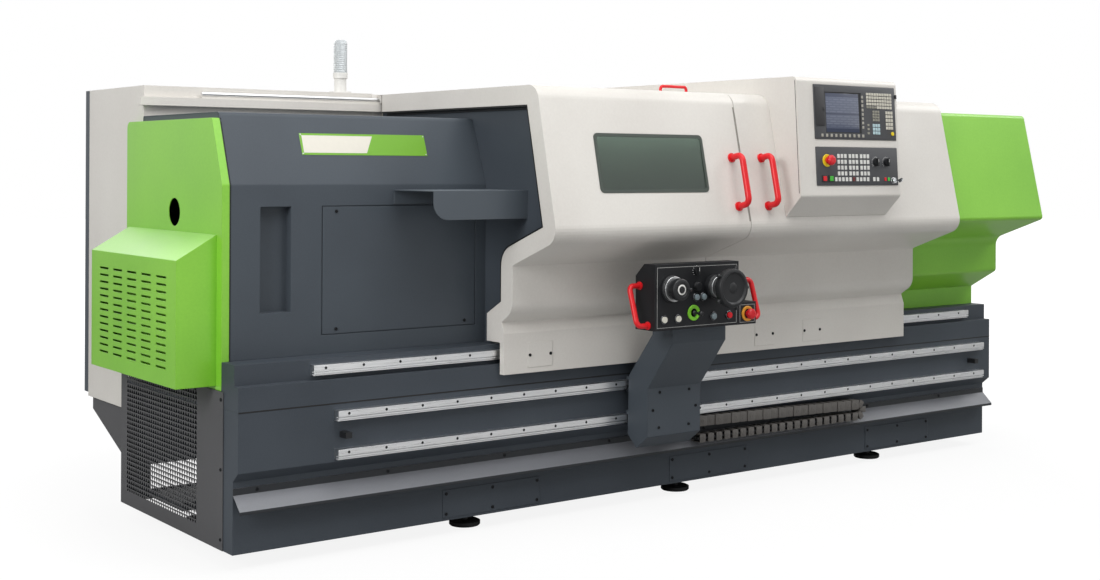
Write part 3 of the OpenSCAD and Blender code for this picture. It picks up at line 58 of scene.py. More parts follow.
def add(tree, kind, settings=None, links=None):
    """Adds one shader node with its settings and the links to its inputs."""
    node = tree.nodes.new(kind)
    for name, value in (settings or {}).items():
        if isinstance(name, str) and hasattr(node, name):
            setattr(node, name, value)
        else:
            node.inputs[name].default_value = value
    for name, source in (links or {}).items():
        tree.links.new(source, node.inputs[name])
    return node


def powder_coat(name, code, shade, roughness, gloss, grain_mm, relief_mm):
    """Baked powder paint: slow drifts of tone, a fine grain that takes part of the gloss, and soft edges."""
    drift_mm, edge_mm = 455, 3
    coat = bpy.data.materials.new(name)
    coat.use_nodes = True
    tree = coat.node_tree
    shader = tree.nodes["Principled BSDF"]
    shader.inputs["IOR"].default_value = 1.5
    shader.inputs["Specular IOR Level"].default_value = gloss
    here = add(tree, "ShaderNodeTexCoord").outputs["Object"]
    drift = add(tree, "ShaderNodeTexNoise", {"Scale": 1000 / drift_mm, "Detail": 3.0}, {"Vector": here})
    grain = add(tree, "ShaderNodeTexNoise", {"Scale": 1000 / grain_mm, "Detail": 2.0}, {"Vector": here})
    tone = add(tree, "ShaderNodeMath", {"operation": "MULTIPLY_ADD", 1: 0.35},
               {0: grain.outputs["Fac"], 2: drift.outputs["Fac"]})
    spread = add(tree, "ShaderNodeMapRange", {"From Min": 0.45, "From Max": 0.95},
                 {"Value": tone.outputs["Value"]})
    paint = add(tree, "ShaderNodeMix", {"data_type": "RGBA", 6: colour(shade), 7: colour(code)},
                {0: spread.outputs["Result"]})
    tree.links.new(paint.outputs[2], shader.inputs["Base Color"])
    sheen = add(tree, "ShaderNodeMapRange", {"To Min": roughness - 0.06, "To Max": roughness + 0.06},
                {"Value": drift.outputs["Fac"]})
    tree.links.new(sheen.outputs["Result"], shader.inputs["Roughness"])
    edge = add(tree, "ShaderNodeBevel", {"samples": 4, "Radius": edge_mm / 1000})
    bump = add(tree, "ShaderNodeBump", {"Strength": 0.35, "Distance": relief_mm / 1000},
               {"Height": grain.outputs["Fac"], "Normal": edge.outputs["Normal"]})
    tree.links.new(bump.outputs["Normal"], shader.inputs["Normal"])
    return coat


def finish_nodes(material, *names):
    """Gives solids of the frame their finish."""
    for name in names:
        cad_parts[name].material_slots[0].material = material


# The real texture is about 1 mm; it is drawn at 5 mm so that it shows at this distance
base_coat = powder_coat("dark_grey_textured_powder_coat", "#434950", "#3a4047", 0.50, 0.25, 5, 0.5)
finish_nodes(base_coat, "base_frame", "door_beam", "access_plates", "bulkhead")


# Screws of the skirt's access plates
# Socket screws with low round heads, headed from steel wire and black oxidised; six hold each plate. The oil
# in the oxide gives them a dull shine.
# Sizes are in mm from the base's lower left front corner; this is where the frame's origin lies
datum_x, datum_y = 1869.5, 514


def at(x, y, z):
    """A point in mm from the base's lower left front corner, as a point of the frame in metres."""
    return Vector(((x - datum_x) / 1000, (y - datum_y) / 1000, z / 1000))


FRONT = Matrix.Rotation(math.radians(90), 4, "X")


def facing(x, y, z):
    """A place in mm on a face turned to the front, with its Z pointing out of the face."""
    return Matrix.Translation(at(x, y, z)) @ FRONT


def ground_metal(name, code, roughness, lines):
    """Bare or oxidised metal with machining lines; lines gives their pitch in mm along X, Y and Z."""
    edge_mm, line_depth_mm = 1, 0.2
    metal = bpy.data.materials.new(name)
    metal.use_nodes = True
    tree = metal.node_tree
    shader = tree.nodes["Principled BSDF"]
    shader.inputs["Metallic"].default_value = 1.0
    here = add(tree, "ShaderNodeTexCoord").outputs["Object"]
    stretch = add(tree, "ShaderNodeMapping", {"Scale": [1000 / pitch for pitch in lines]}, {"Vector": here})
    line = add(tree, "ShaderNodeTexNoise", {"Scale": 1.0, "Detail": 2.0},
               {"Vector": stretch.outputs["Vector"]})
    dull = [channel * 0.78 for channel in colour(code)[:3]] + [1.0]
    tone = add(tree, "ShaderNodeMix", {"data_type": "RGBA", 6: dull, 7: colour(code)},
               {0: line.outputs["Fac"]})
    tree.links.new(tone.outputs[2], shader.inputs["Base Color"])
    sheen = add(tree, "ShaderNodeMapRange", {"To Min": roughness - 0.08, "To Max": roughness + 0.08},
                {"Value": line.outputs["Fac"]})
    tree.links.new(sheen.outputs["Result"], shader.inputs["Roughness"])
    edge = add(tree, "ShaderNodeBevel", {"samples": 4, "Radius": edge_mm / 1000})
    bump = add(tree, "ShaderNodeBump", {"Strength": 0.2, "Distance": line_depth_mm / 1000},
               {"Height": line.outputs["Fac"], "Normal": edge.outputs["Normal"]})
    tree.links.new(bump.outputs["Normal"], shader.inputs["Normal"])
    return metal


def turned(profile, sides=48):
    """A turned part along Z: a disc drawn out step by step to each [radius, height] in mm."""
    bpy.ops.mesh.primitive_circle_add(vertices=sides, radius=profile[0][0] / 1000, fill_type="NGON",
                                      location=(0, 0, 0))
    part = bpy.context.active_object
    bpy.ops.object.mode_set(mode="EDIT")
    bpy.ops.mesh.select_all(action="SELECT")
    bpy.ops.transform.translate(value=(0, 0, profile[0][1] / 1000))
    for (radius, height), (wider, higher) in zip(profile, profile[1:]):
        bpy.ops.mesh.extrude_region_move(
            TRANSFORM_OT_translate={"value": (0, 0, (higher - height) / 1000)})
        bpy.ops.transform.resize(value=(wider / radius, wider / radius, 1))
    bpy.ops.mesh.select_all(action="DESELECT")
    bpy.ops.mesh.select_non_manifold()
    bpy.ops.mesh.edge_face_add()
    bpy.ops.mesh.select_all(action="SELECT")
    bpy.ops.mesh.normals_make_consistent(inside=False)
    bpy.ops.object.mode_set(mode="OBJECT")
    return part


def repeat(part, places):
    """Copies a finished shape to each place, each copy with a mesh of its own, and joins them."""
    bpy.ops.object.select_all(action="DESELECT")
    for place in places:
        copy = part.copy()
        copy.data = part.data.copy()
        copy.matrix_world = place
        bpy.context.collection.objects.link(copy)
        copy.select_set(True)
        bpy.context.view_layer.objects.active = copy
    bpy.data.objects.remove(part)
    if len(places) > 1:
        bpy.ops.object.join()
    return bpy.context.view_layer.objects.active


def baked(part, place=None):
    """Bakes a part's place into its mesh; a new place is taken up first."""
    bpy.ops.object.select_all(action="DESELECT")
    part.select_set(True)
    bpy.context.view_layer.objects.active = part
    if place is not None:
        part.matrix_world = place
    bpy.ops.object.transform_apply(location=True, rotation=True, scale=True)
    return part


def settle(piece, name, material, body):
    """Bakes a finished piece's place into its mesh, finishes it and hangs it on its body, if it has one."""
    baked(piece)
    bpy.ops.object.shade_smooth_by_angle(angle=math.radians(32))
    piece.name = name
    piece.data.name = name
    piece.data.materials.clear()
    piece.data.materials.append(material)
    if body:
        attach(piece, body)
    bpy.ops.object.select_all(action="DESELECT")
    return piece


# The oxide is even to the eye; its grain is drawn at 4 mm, far coarser than it is
black_oxide = ground_metal("black_oxide_steel", "#2b2c2e", 0.42, (4, 4, 4))
low_head = [[6, 0], [6, 2.0], [5.2, 2.8], [3.0, 2.8], [2.8, 1.2]]


def screws(name, body, places, head=low_head):
    """Black screws, turned once and copied to their places."""
    settle(repeat(turned(head, 12), places), name, black_oxide, body)


plates_x, plates_y, columns_x, rows_z = (808, 1883, 3044), 36, (14, 215, 416), (79, 151)
screws("access_plate_screws", "machine",
       [facing(x + dx, plates_y, z) for x in plates_x for dx in columns_x for z in rows_z])


# Levelling feet
# Cast pads on rubber soles, on threaded studs that are screwed into the base to level the machine. They are
# dull black all over.
def moulded(name, code, roughness, grain_mm=3.0, relief_mm=0.15):
    """Moulded plastic or rubber. The mould's fine grain is drawn at a few mm, coarser than it is, so that it
    shows."""
    plastic = bpy.data.materials.new(name)
    plastic.use_nodes = True
    tree = plastic.node_tree
    shader = tree.nodes["Principled BSDF"]
    shader.inputs["IOR"].default_value = 1.49
    shader.inputs["Specular IOR Level"].default_value = 0.35
    here = add(tree, "ShaderNodeTexCoord").outputs["Object"]
    grain = add(tree, "ShaderNodeTexNoise", {"Scale": 1000 / grain_mm, "Detail": 2.0}, {"Vector": here})
    dull = [channel * 0.86 for channel in colour(code)[:3]] + [1.0]
    tone = add(tree, "ShaderNodeMix", {"data_type": "RGBA", 6: dull, 7: colour(code)},
               {0: grain.outputs["Fac"]})
    tree.links.new(tone.outputs[2], shader.inputs["Base Color"])
    sheen = add(tree, "ShaderNodeMapRange", {"To Min": roughness - 0.05, "To Max": roughness + 0.05},
                {"Value": grain.outputs["Fac"]})
    tree.links.new(sheen.outputs["Result"], shader.inputs["Roughness"])
    bump = add(tree, "ShaderNodeBump", {"Strength": 0.25, "Distance": relief_mm / 1000},
               {"Height": grain.outputs["Fac"]})
    tree.links.new(bump.outputs["Normal"], shader.inputs["Normal"])
    return plastic


# Rubber swallows most of the light; what is left is a soft, matt sheen
black_rubber = moulded("black_rubber", "#17181a", 0.6, 4.0, 0.3)
finish_nodes(black_rubber, "levelling_feet")


# Mesh guard
# A thin steel plate over the hollow end of the base, punched with rows of round holes that let air in,
# and screwed to the base's post. Its coat is a neutral dark grey, like that of the cabinet's bracket.
def slab(size, centre=(0, 0, 0), edge=0.0, segments=2):
    """A plate of a size in mm about a centre, with its edges rounded."""
    bpy.ops.mesh.primitive_cube_add(size=1, location=(0, 0, 0))
    part = bpy.context.active_object
    bpy.ops.object.mode_set(mode="EDIT")
    bpy.ops.mesh.select_all(action="SELECT")
    bpy.ops.transform.resize(value=[side / 1000 for side in size])
    bpy.ops.transform.translate(value=[middle / 1000 for middle in centre])
    if edge:
        bpy.ops.mesh.bevel(offset=edge / 1000, segments=segments, affect="EDGES")
    bpy.ops.object.mode_set(mode="OBJECT")
    return part


def joined(parts):
    """Several shapes made one object."""
    bpy.ops.object.select_all(action="DESELECT")
    for part in parts:
        part.select_set(True)
    bpy.context.view_layer.objects.active = parts[0]
    bpy.ops.object.join()
    return bpy.context.view_layer.objects.active


guard_coat = powder_coat("neutral_grey_textured_powder_coat", "#525254", "#4a4a4c", 0.50, 0.25, 5, 0.5)
finish_nodes(guard_coat, "cabinet_bracket")
guard_y0, guard_y1, guard_z0, guard_z1, rim_t = 109, 1003, 55, 576.5, 3
field_y0, field_y1, field_z0, field_z1, field_t = 314, 945, 103, 560, 1.2
hole_columns, hole_rows, hole_r = 31, 27, 5.2
pitch_y, pitch_z = (field_y1 - field_y0) / hole_columns, (field_z1 - field_z0) / hole_rows
bpy.ops.mesh.primitive_circle_add(vertices=8, radius=hole_r / 1000, location=(0, 0, 0),
                                  rotation=(0, math.radians(90), 0))
mesh_field = bpy.context.active_object
bpy.ops.object.transform_apply(rotation=True)
bpy.ops.object.mode_set(mode="EDIT")
bpy.ops.mesh.select_all(action="SELECT")
bpy.ops.mesh.extrude_edges_move(TRANSFORM_OT_translate={"value": (0, 0, 0)})
bpy.ops.transform.resize(value=(1, pitch_y / 2 / hole_r, pitch_z / 2 / hole_r))
bpy.ops.mesh.select_all(action="DESELECT")
bpy.ops.object.mode_set(mode="OBJECT")
# The slanting points of the ring round the hole are drawn out to the corners of its cell
for vertex in mesh_field.data.vertices:
    in_ring = math.hypot(vertex.co.y, vertex.co.z) > 1.2 * hole_r / 1000
    vertex.select = in_ring and min(abs(vertex.co.y), abs(vertex.co.z)) > hole_r / 2000
bpy.ops.object.mode_set(mode="EDIT")
bpy.ops.transform.resize(value=(1, math.sqrt(2), math.sqrt(2)))
bpy.ops.object.mode_set(mode="OBJECT")
for axis, pitch, count in (("y", pitch_y, hole_columns), ("z", pitch_z, hole_rows)):
    row = mesh_field.modifiers.new("row_" + axis, "ARRAY")
    row.use_relative_offset = False
    row.use_constant_offset = True
    row.constant_offset_displace = (0, pitch / 1000, 0) if axis == "y" else (0, 0, pitch / 1000)
    row.count = count
    row.use_merge_vertices = True
    bpy.ops.object.modifier_apply(modifier=row.name)
wall = mesh_field.modifiers.new("plate", "SOLIDIFY")
wall.thickness = field_t / 1000
wall.offset = 0
bpy.ops.object.modifier_apply(modifier=wall.name)
mesh_field.matrix_world = Matrix.Translation(
    at(field_t / 2 - rim_t, field_y0 + pitch_y / 2, field_z0 + pitch_z / 2))
rims = []
for y0, y1, z0, z1 in ((guard_y0, field_y0, guard_z0, guard_z1), (field_y1, guard_y1, guard_z0, guard_z1),
                       (field_y0, field_y1, guard_z0, field_z0), (field_y0, field_y1, field_z1, guard_z1)):
    rim = slab((rim_t, y1 - y0, z1 - z0))
    rim.matrix_world = Matrix.Translation(at(-rim_t / 2, (y0 + y1) / 2, (z0 + z1) / 2))
    rims.append(rim)
mesh_guard = settle(joined([mesh_field] + rims), "perforated_guard", guard_coat, "machine")
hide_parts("mesh_guard")
SIDE = Matrix.Rotation(math.radians(-90), 4, "Y")
spots = [(124, z) for z in (90, 320, 550)] + [(y, 562) for y in (330, 640, 985)]
screws("guard_screws", "machine", [Matrix.Translation(at(-rim_t, y, z)) @ SIDE for y, z in spots])

# Sealed joint
# A bead of black sealant, drawn along the joint between the base and the door beam and smoothed almost
# flush, so that no coolant gets in.
base_w, joint_z = 3880, 521
bead = slab((base_w, 1.2, 5), edge=0.3, segments=1)
bead.matrix_world = Matrix.Translation(at(base_w / 2, 0, joint_z))
settle(bead, "joint_sealant", black_rubber, "machine")


# Sill and its screws
# A folded steel ledge along the skirt that carries the chain, screwed through its upper flange.
# Its slope is painted pale as painted light from above, and its flange near black as painted shade in the
# recess.
def painted_light_coat(name, code, shade, painted_shade_code):
    """A powder coat painted paler on faces turned up, as painted light from above, and darker on the others,
    as painted shade.
    """
    coat = powder_coat(name, code, shade, 0.42, 0.35, 5, 0.5)
    tree = coat.node_tree
    shader = tree.nodes["Principled BSDF"]
    painted_lit_tone = shader.inputs["Base Color"].links[0].from_socket
    normal = add(tree, "ShaderNodeTexCoord").outputs["Normal"]
    turned_up = add(tree, "ShaderNodeSeparateXYZ", links={"Vector": normal})
    # The painted light starts on faces that are nearly upright, and is full on the sill's slope
    slope = add(tree, "ShaderNodeMapRange", {"From Min": 0.2, "From Max": 0.4},
                {"Value": turned_up.outputs["Z"]})
    tone = add(tree, "ShaderNodeMix", {"data_type": "RGBA", 6: colour(painted_shade_code)},
               {0: slope.outputs["Result"], 7: painted_lit_tone})
    tree.links.new(tone.outputs[2], shader.inputs["Base Color"])
    return coat


# The sill's slope gets a paler painted light tone, and its flange a near black painted shade
finish_nodes(painted_light_coat("sill_powder_coat_painted_light_and_shade", "#7c7e83", "#717378", "#25282c"), "chain_sill")
flange_y, flange_z, flange_pitch = 35, 261, 495
screws("sill_screws", "machine", [facing(x, flange_y, flange_z) for x in range(85, 3800, flange_pitch)])

# Rails and guide rod
# Drawn steel rails with a screwed flat and a ground bead, bright along their length, on which the
# pendant and the doors run. Flat countersunk screws hold them, flush so that nothing catches.
rail_steel = ground_metal("ground_rail_steel", "#f0f1f2", 0.30, (120, 2.5, 2.5))
finish_nodes(rail_steel, "pendant_rails", "door_guides")
flush_head = [[5, 0], [5, 0.1], [4.7, 0.2], [2.6, 0.2], [2.4, 0.05]]
rail_y, rails_z, guide_y, guide_z, rail_pitch = -30, (489, 359), 5, 643, 145
places = [facing(x, rail_y, z) for x in range(390, 3780, rail_pitch) for z in rails_z]
places += [facing(x, guide_y, guide_z) for x in range(320, 3720, rail_pitch)]
screws("rail_screws", "machine", places, flush_head)
# Nylon blocks at the rails' ends stop the carriage; the nylon is black with a soft gloss
black_nylon = moulded("black_moulded_nylon", "#1d1e20", 0.40)
finish_nodes(black_nylon, "carriage_stops")

# Headstock cover, service panel and tool shelf
# Folded sheet steel in a slate coat, textured and with a low sheen. Four screws hold the flush service panel,
# and the shelf's top is painted paler than its front, as painted light from above.
slate_coat = powder_coat("slate_textured_powder_coat", "#4a5158", "#42484f", 0.46, 0.25, 5, 0.5)
finish_nodes(slate_coat, "headstock_cover", "service_panel")
# The shelf's top is painted paler than its front, as painted light from above
finish_nodes(painted_light_coat("shelf_powder_coat_painted_light_and_shade", "#6d747b", "#646b72", "#4d545b"), "tool_shelf")
cover_y, lean_z, lean_run, lean_rise, cover_lean = 130, 1255, 90, 245, 20.17
screws("service_screws", "machine", [facing(x, cover_y, z) for x in (425, 957) for z in (756, 1163)])
# A folded flange closes the cover's open end above the green end cover; its front is cut to the cover's lean
closing_d, closing_cut = 669, -322.2
closing = slab((2, closing_d, 30))
bpy.ops.object.mode_set(mode="EDIT")
bpy.ops.mesh.select_all(action="SELECT")
bpy.ops.mesh.bisect(plane_co=(0, closing_cut / 1000, 0), plane_no=(0, -lean_rise, lean_run), use_fill=True,
                    clear_outer=True)
bpy.ops.object.mode_set(mode="OBJECT")
closing.matrix_world = Matrix.Translation(at(29, 539.5, 1481))
settle(closing, "closing_flange", slate_coat, "machine")


# Edge shadow gap
# A black strip along the joint between the headstock cover and the green end cover: painted shadow for the
# gap between them. It follows the cover's front, first upright and then leaning back.
def leaning(x, y, z, degrees):
    """The frame of a face that leans back: x to the right, -y outwards and z up along the face."""
    return Matrix.Translation(at(x, y, z)) @ Matrix.Rotation(math.radians(-degrees), 4, "X")


shadow_gap_x = 29.5
# The black strip is painted shadow, standing in for the dark gap at the joint
upright = slab((5, 1, 583), edge=0.3, segments=1)
upright.matrix_world = Matrix.Translation(at(shadow_gap_x, cover_y, 963.5))
inclined = slab((5, 1, 238), edge=0.3, segments=1)
inclined.matrix_world = leaning(shadow_gap_x, 171.1, 1367, cover_lean)
settle(joined([upright, inclined]), "cover_edge_painted_shadow", black_rubber, "machine")

# Bulkhead lip
# A lip of dark, matt rubber, pressed on the bulkhead's edge, which closes the gap to the left door's frame.
# It follows the edge of that frame, whose corners are given as Y and Z.
lip_rubber = moulded("dark_grey_rubber", "#26292d", 0.55, 4.0, 0.3)
frame_edge = [(834, 1540), (-170, 1540), (-268, 1109), (-15, 1013), (-15, 831), (74, 782), (74, 682)]
lip_x, lip_t, lip_w, lip_inset, lip_overlap = 1048, 4, 22, 5, 6
lips = []
for (y0, z0), (y1, z1) in zip(frame_edge, frame_edge[1:]):
    length = math.hypot(y1 - y0, z1 - z0)
    lip_y = (y0 + y1) / 2 + lip_inset * (z0 - z1) / length
    lip_z = (z0 + z1) / 2 + lip_inset * (y1 - y0) / length
    lip = slab((lip_t, lip_w, length + 2 * lip_overlap), edge=0.8, segments=1)
    lip.matrix_world = (Matrix.Translation(at(lip_x, lip_y, lip_z))
                        @ Matrix.Rotation(math.atan2(y0 - y1, z1 - z0), 4, "X"))
    lips.append(lip)
settle(joined(lips), "bulkhead_lip", lip_rubber, "machine")


# Name plate
# A bare plate of thin aluminium, printed green with a cream field in a satin gloss. Four rivets hold it to
# the leaning face of the headstock cover.
def printed(name, code, roughness, mottle_mm=16.7):
    """Printed or painted sheet, nearly flat, with a faint mottle in the ink and in its gloss."""
    ink = bpy.data.materials.new(name)
    ink.use_nodes = True
    tree = ink.node_tree
    shader = tree.nodes["Principled BSDF"]
    here = add(tree, "ShaderNodeTexCoord").outputs["Object"]
    mottle = add(tree, "ShaderNodeTexNoise", {"Scale": 1000 / mottle_mm, "Detail": 3.0}, {"Vector": here})
    pale = [channel * 0.93 for channel in colour(code)[:3]] + [1.0]
    tone = add(tree, "ShaderNodeMix", {"data_type": "RGBA", 6: pale, 7: colour(code)},
               {0: mottle.outputs["Fac"]})
    tree.links.new(tone.outputs[2], shader.inputs["Base Color"])
    gloss = add(tree, "ShaderNodeMapRange", {"To Min": roughness - 0.04, "To Max": roughness + 0.04},
                {"Value": mottle.outputs["Fac"]})
    tree.links.new(gloss.outputs["Result"], shader.inputs["Roughness"])
    return ink


plate_x, plate_z = 565, 1394.5
plate_face = leaning(plate_x, cover_y + (plate_z - lean_z) * lean_run / lean_rise, plate_z, cover_lean)
plate = slab((506, 1.2, 80), (0, -0.6, 0), 0.4, 1)
plate.matrix_world = plate_face
settle(plate, "name_plate", printed("green_printed_aluminium", "#6ca71e", 0.35), "machine")
# The field's right end is cut on the slant
field = slab((300, 0.5, 64), (-95, -1.3, 0))
bpy.ops.object.mode_set(mode="EDIT")
bpy.ops.mesh.select_all(action="SELECT")
bpy.ops.mesh.bisect(plane_co=(0.0185, 0, 0), plane_no=(1, 0, -0.5), use_fill=True, clear_outer=True)
bpy.ops.object.mode_set(mode="OBJECT")
field.matrix_world = plate_face
settle(field, "name_plate_field", printed("cream_printed_aluminium", "#dcd8cc", 0.35), "machine")
# Anodised aluminium is even and matt; its grain is drawn at 8 mm, coarser than it is
matt_aluminium = ground_metal("matt_anodised_aluminium", "#c9cacb", 0.38, (8, 8, 8))
rivet = turned([[2.6, 1.1], [2.6, 1.6], [1.8, 2.2], [0.7, 2.4]], 12)
rivet_x, rivet_z = 0.248, 0.035
rivets = [plate_face @ Matrix.Translation((x, 0, z)) @ FRONT
          for x in (-rivet_x, rivet_x) for z in (-rivet_z, rivet_z)]
settle(repeat(rivet, rivets), "name_plate_rivets", matt_aluminium, "machine")

# End cover, vent box and tail cover
# Folded sheet steel in a smooth leaf green powder coat, glossier than the dark coats. The coat's orange peel
# is about 3 mm wide; it is drawn at 9 mm so that it shows.
green_coat = powder_coat("leaf_green_smooth_powder_coat", "#87c73d", "#79ba32", 0.34, 0.5, 9, 0.25)
finish_nodes(green_coat, "end_cover", "vent_box", "tail_cover")

# Cabinet, beams and guards
# Folded sheet steel in a smooth cream powder coat with a soft satin sheen, its orange peel drawn as coarse as
# the green coat's. The cabinet's rear door is slate, and the drives in it are enamelled light grey.
cream_coat = powder_coat("cream_smooth_powder_coat", "#dbd8d2", "#d0ccc6", 0.40, 0.4, 9, 0.25)
finish_nodes(cream_coat, "cabinet_shell", "top_beam", "rear_guard")
finish_nodes(slate_coat, "cabinet_door")
# A strip on the cabinet's corner closes the gap to the left door's roof
strip = slab((49, 4, 122), edge=1)
strip.matrix_world = Matrix.Translation(at(1020.5, 878, 1551))
settle(strip, "corner_strip", cream_coat, "machine")
drive_enamel = powder_coat("light_grey_drive_enamel", "#9a9ea0", "#8b8f92", 0.45, 0.4, 6, 0.3)
finish_nodes(drive_enamel, "drive_modules")

# Signal tower
# A foot and collar moulded in white ABS, smooth and slightly glossy, are screwed to the cabinet's roof. They
# carry a ribbed lens, pressed from milky acrylic that lets some of the light through.
white_abs = moulded("white_moulded_abs", "#e4e3df", 0.35)
finish_nodes(white_abs, "signal_tower")
milky_acrylic = moulded("milky_acrylic", "#dfe4e6", 0.22, 6.0, 0.1)
milky_acrylic.node_tree.nodes["Principled BSDF"].inputs["Transmission Weight"].default_value = 0.35
tower_x, tower_y, lens_z, rib_count, rib_pitch = 891, 950, 1699, 15, 8
lens_ribs = [[27, 0], [27, 4]]
for rib in range(rib_count):
    lens_ribs += [[28, 6 + rib * rib_pitch], [26.2, 10 + rib * rib_pitch]]
lens = turned(lens_ribs + [[25, 128], [20, 133.5]], 40)
lens.matrix_world = Matrix.Translation(at(tower_x, tower_y, lens_z))
lens = settle(lens, "tower_lens", milky_acrylic, "machine")
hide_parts("signal_lamp")

# Bed, headstock, saddle and tailstock
# Iron castings, machined only where they fit together, under a thick machine enamel that is uneven from the
# sand mould.
casting_enamel = powder_coat("enamelled_cast_iron", "#6a7076", "#5a6066", 0.45, 0.4, 14, 1.2)
finish_nodes(casting_enamel, "bed_casting", "headstock_casting", "saddle", "cross_slide", "tailstock")

# Spindle, chuck, tool post and quill
# Turned and ground steel, left bare and oiled, with fine rings from the cutting tool. The rings are drawn
# 2 mm apart, coarser than they are.
turned_steel = ground_metal("turned_steel", "#b4b8bc", 0.28, (2, 30, 30))
finish_nodes(turned_steel, "spindle", "chuck_body", "jaw_1", "jaw_2", "jaw_3", "tool_post", "quill")

# Doors
# Folded steel shells in the cream coat; small plates on their skirts cover the adjustment of the shoes
# and are held by two screws each.
finish_nodes(cream_coat, "left_door", "right_door")
shoe_dx, shoe_y, shoe_z = 47, -36.5, 632
for door, plates in (("left_door", [1183]), ("right_door", [2338.5, 2621.5])):
    screws(door + "_screws", door,
           [facing(x + dx, shoe_y, shoe_z) for x in plates for dx in (-shoe_dx, shoe_dx)])

# Door seam
# A strip of grey, matt rubber, glued to the edge of the left door's leaning face. The right door closes
# on it.
bulge_y, bulge_z, door_lean, seam_x, seam_z = -350, 1065, 12.82, 1954.8, 1335
seam_y = bulge_y + (seam_z - bulge_z) * math.tan(math.radians(door_lean))
seam_strip = slab((7, 0.8, 450), edge=0.2, segments=1)
seam_strip.matrix_world = leaning(seam_x, seam_y, seam_z, door_lean)
settle(seam_strip, "door_seam_strip", moulded("grey_seam_rubber", "#8f8b85", 0.5), "left_door")

# Window
# A laminated polycarbonate pane, slightly green, in a grey rubber gasket. The rubber on the edge of the
# door's frame is of the same make, but black.
seal_rubber = moulded("grey_green_rubber", "#414943", 0.5, 4.0, 0.3)
tree = seal_rubber.node_tree
shader = tree.nodes["Principled BSDF"]
gasket = shader.inputs["Base Color"].links[0].from_socket
edge_x = at(1100, 0, 0).x
here = add(tree, "ShaderNodeTexCoord").outputs["Object"]
axes = add(tree, "ShaderNodeSeparateXYZ", links={"Vector": here})
on_edge = add(tree, "ShaderNodeMath", {"operation": "LESS_THAN", 1: edge_x}, {0: axes.outputs["X"]})
tone = add(tree, "ShaderNodeMix", {"data_type": "RGBA", 7: colour("#111213")},
           {0: on_edge.outputs["Value"], 6: gasket})
tree.links.new(tone.outputs[2], shader.inputs["Base Color"])
finish_nodes(seal_rubber, "left_seals")
# Clear and glossy, with streaks from wiping that are drawn coarser than they are
pane = bpy.data.materials.new("green_tinted_polycarbonate")
pane.use_nodes = True
tree = pane.node_tree
shader = tree.nodes["Principled BSDF"]
shader.inputs["Base Color"].default_value = colour("#6f8a7c")
shader.inputs["IOR"].default_value = 1.58
shader.inputs["Transmission Weight"].default_value = 1.0
streak_mm = (167, 25, 25)
here = add(tree, "ShaderNodeTexCoord").outputs["Object"]
wiped = add(tree, "ShaderNodeMapping", {"Scale": [1000 / width for width in streak_mm]}, {"Vector": here})
streak = add(tree, "ShaderNodeTexNoise", {"Scale": 1.0, "Detail": 4.0}, {"Vector": wiped.outputs["Vector"]})
smear = add(tree, "ShaderNodeMapRange", {"To Min": 0.0, "To Max": 0.03}, {"Value": streak.outputs["Fac"]})
tree.links.new(smear.outputs["Result"], shader.inputs["Roughness"])
finish_nodes(pane, "left_window")

# Handles
# Bow handles moulded in red nylon round a steel core, with a soft gloss, and screwed to the sheet from
# behind. The roof and the pendant have smaller ones.
red_nylon = moulded("red_moulded_nylon", "#dc1f26", 0.30)
finish_nodes(red_nylon, "left_handle", "right_handle", "roof_handle", "pendant_handles")

# Control box and display panel
# A folded cream housing, hung on the right door. Its display is a moulded grey front with a sunk screen, a
# flap over its sockets and rows of small keys in a silicone mat.
finish_nodes(cream_coat, "control_box")
panel_x, panel_lean = 2482, 3.676
# Two thin black strips along the box's front corners are painted shadow for the seam of its cover
seam = joined([slab((0.8, 2.6, 440), (x, 8, 0), 0.2, 1) for x in (-330.1, 253.1)])
seam.matrix_world = leaning(panel_x, -400.03, 1442, panel_lean)
settle(seam, "cover_corner_painted_shadow", black_rubber, "right_door")
# The ABS of the fronts is matt, from a textured mould; that of small parts is smoother
panel_plastic = moulded("grey_panel_abs", "#46474a", 0.48)
black_abs = moulded("black_moulded_abs", "#1b1c1e", 0.42)
display_z = 1542
display = leaning(panel_x, -393.6, display_z, panel_lean)
screen_w, screen_h, screen_x, screen_z, bezel_x = 192, 155, -76, -2, -72.5
front = slab((478, 8, 215), edge=2)
well = slab((211, 6, 163), (bezel_x, -4, screen_z), 1)
cut = front.modifiers.new("screen_well", "BOOLEAN")
cut.object = well
bpy.context.view_layer.objects.active = front
bpy.ops.object.modifier_apply(modifier=cut.name)
bpy.data.objects.remove(well)
front.matrix_world = display
front = settle(front, "display_front", panel_plastic, "right_door")
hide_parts("display_panel")
flap = joined([slab((50, 5, 152), (-210, -5.5, 22), 1.2), slab((8, 2, 16), (-190, -8.5, 12), 0.8)])
flap.matrix_world = display
settle(flap, "socket_flap", moulded("dark_flap_abs", "#323234", 0.5), "right_door")
bezel = joined([slab((209, 1.2, 161), (bezel_x, -0.9, screen_z), 0.4, 1),
                slab((9, 8, 16), (243, -3.5, 71), 1)])
bezel.matrix_world = display
settle(bezel, "screen_bezel", black_abs, "right_door")

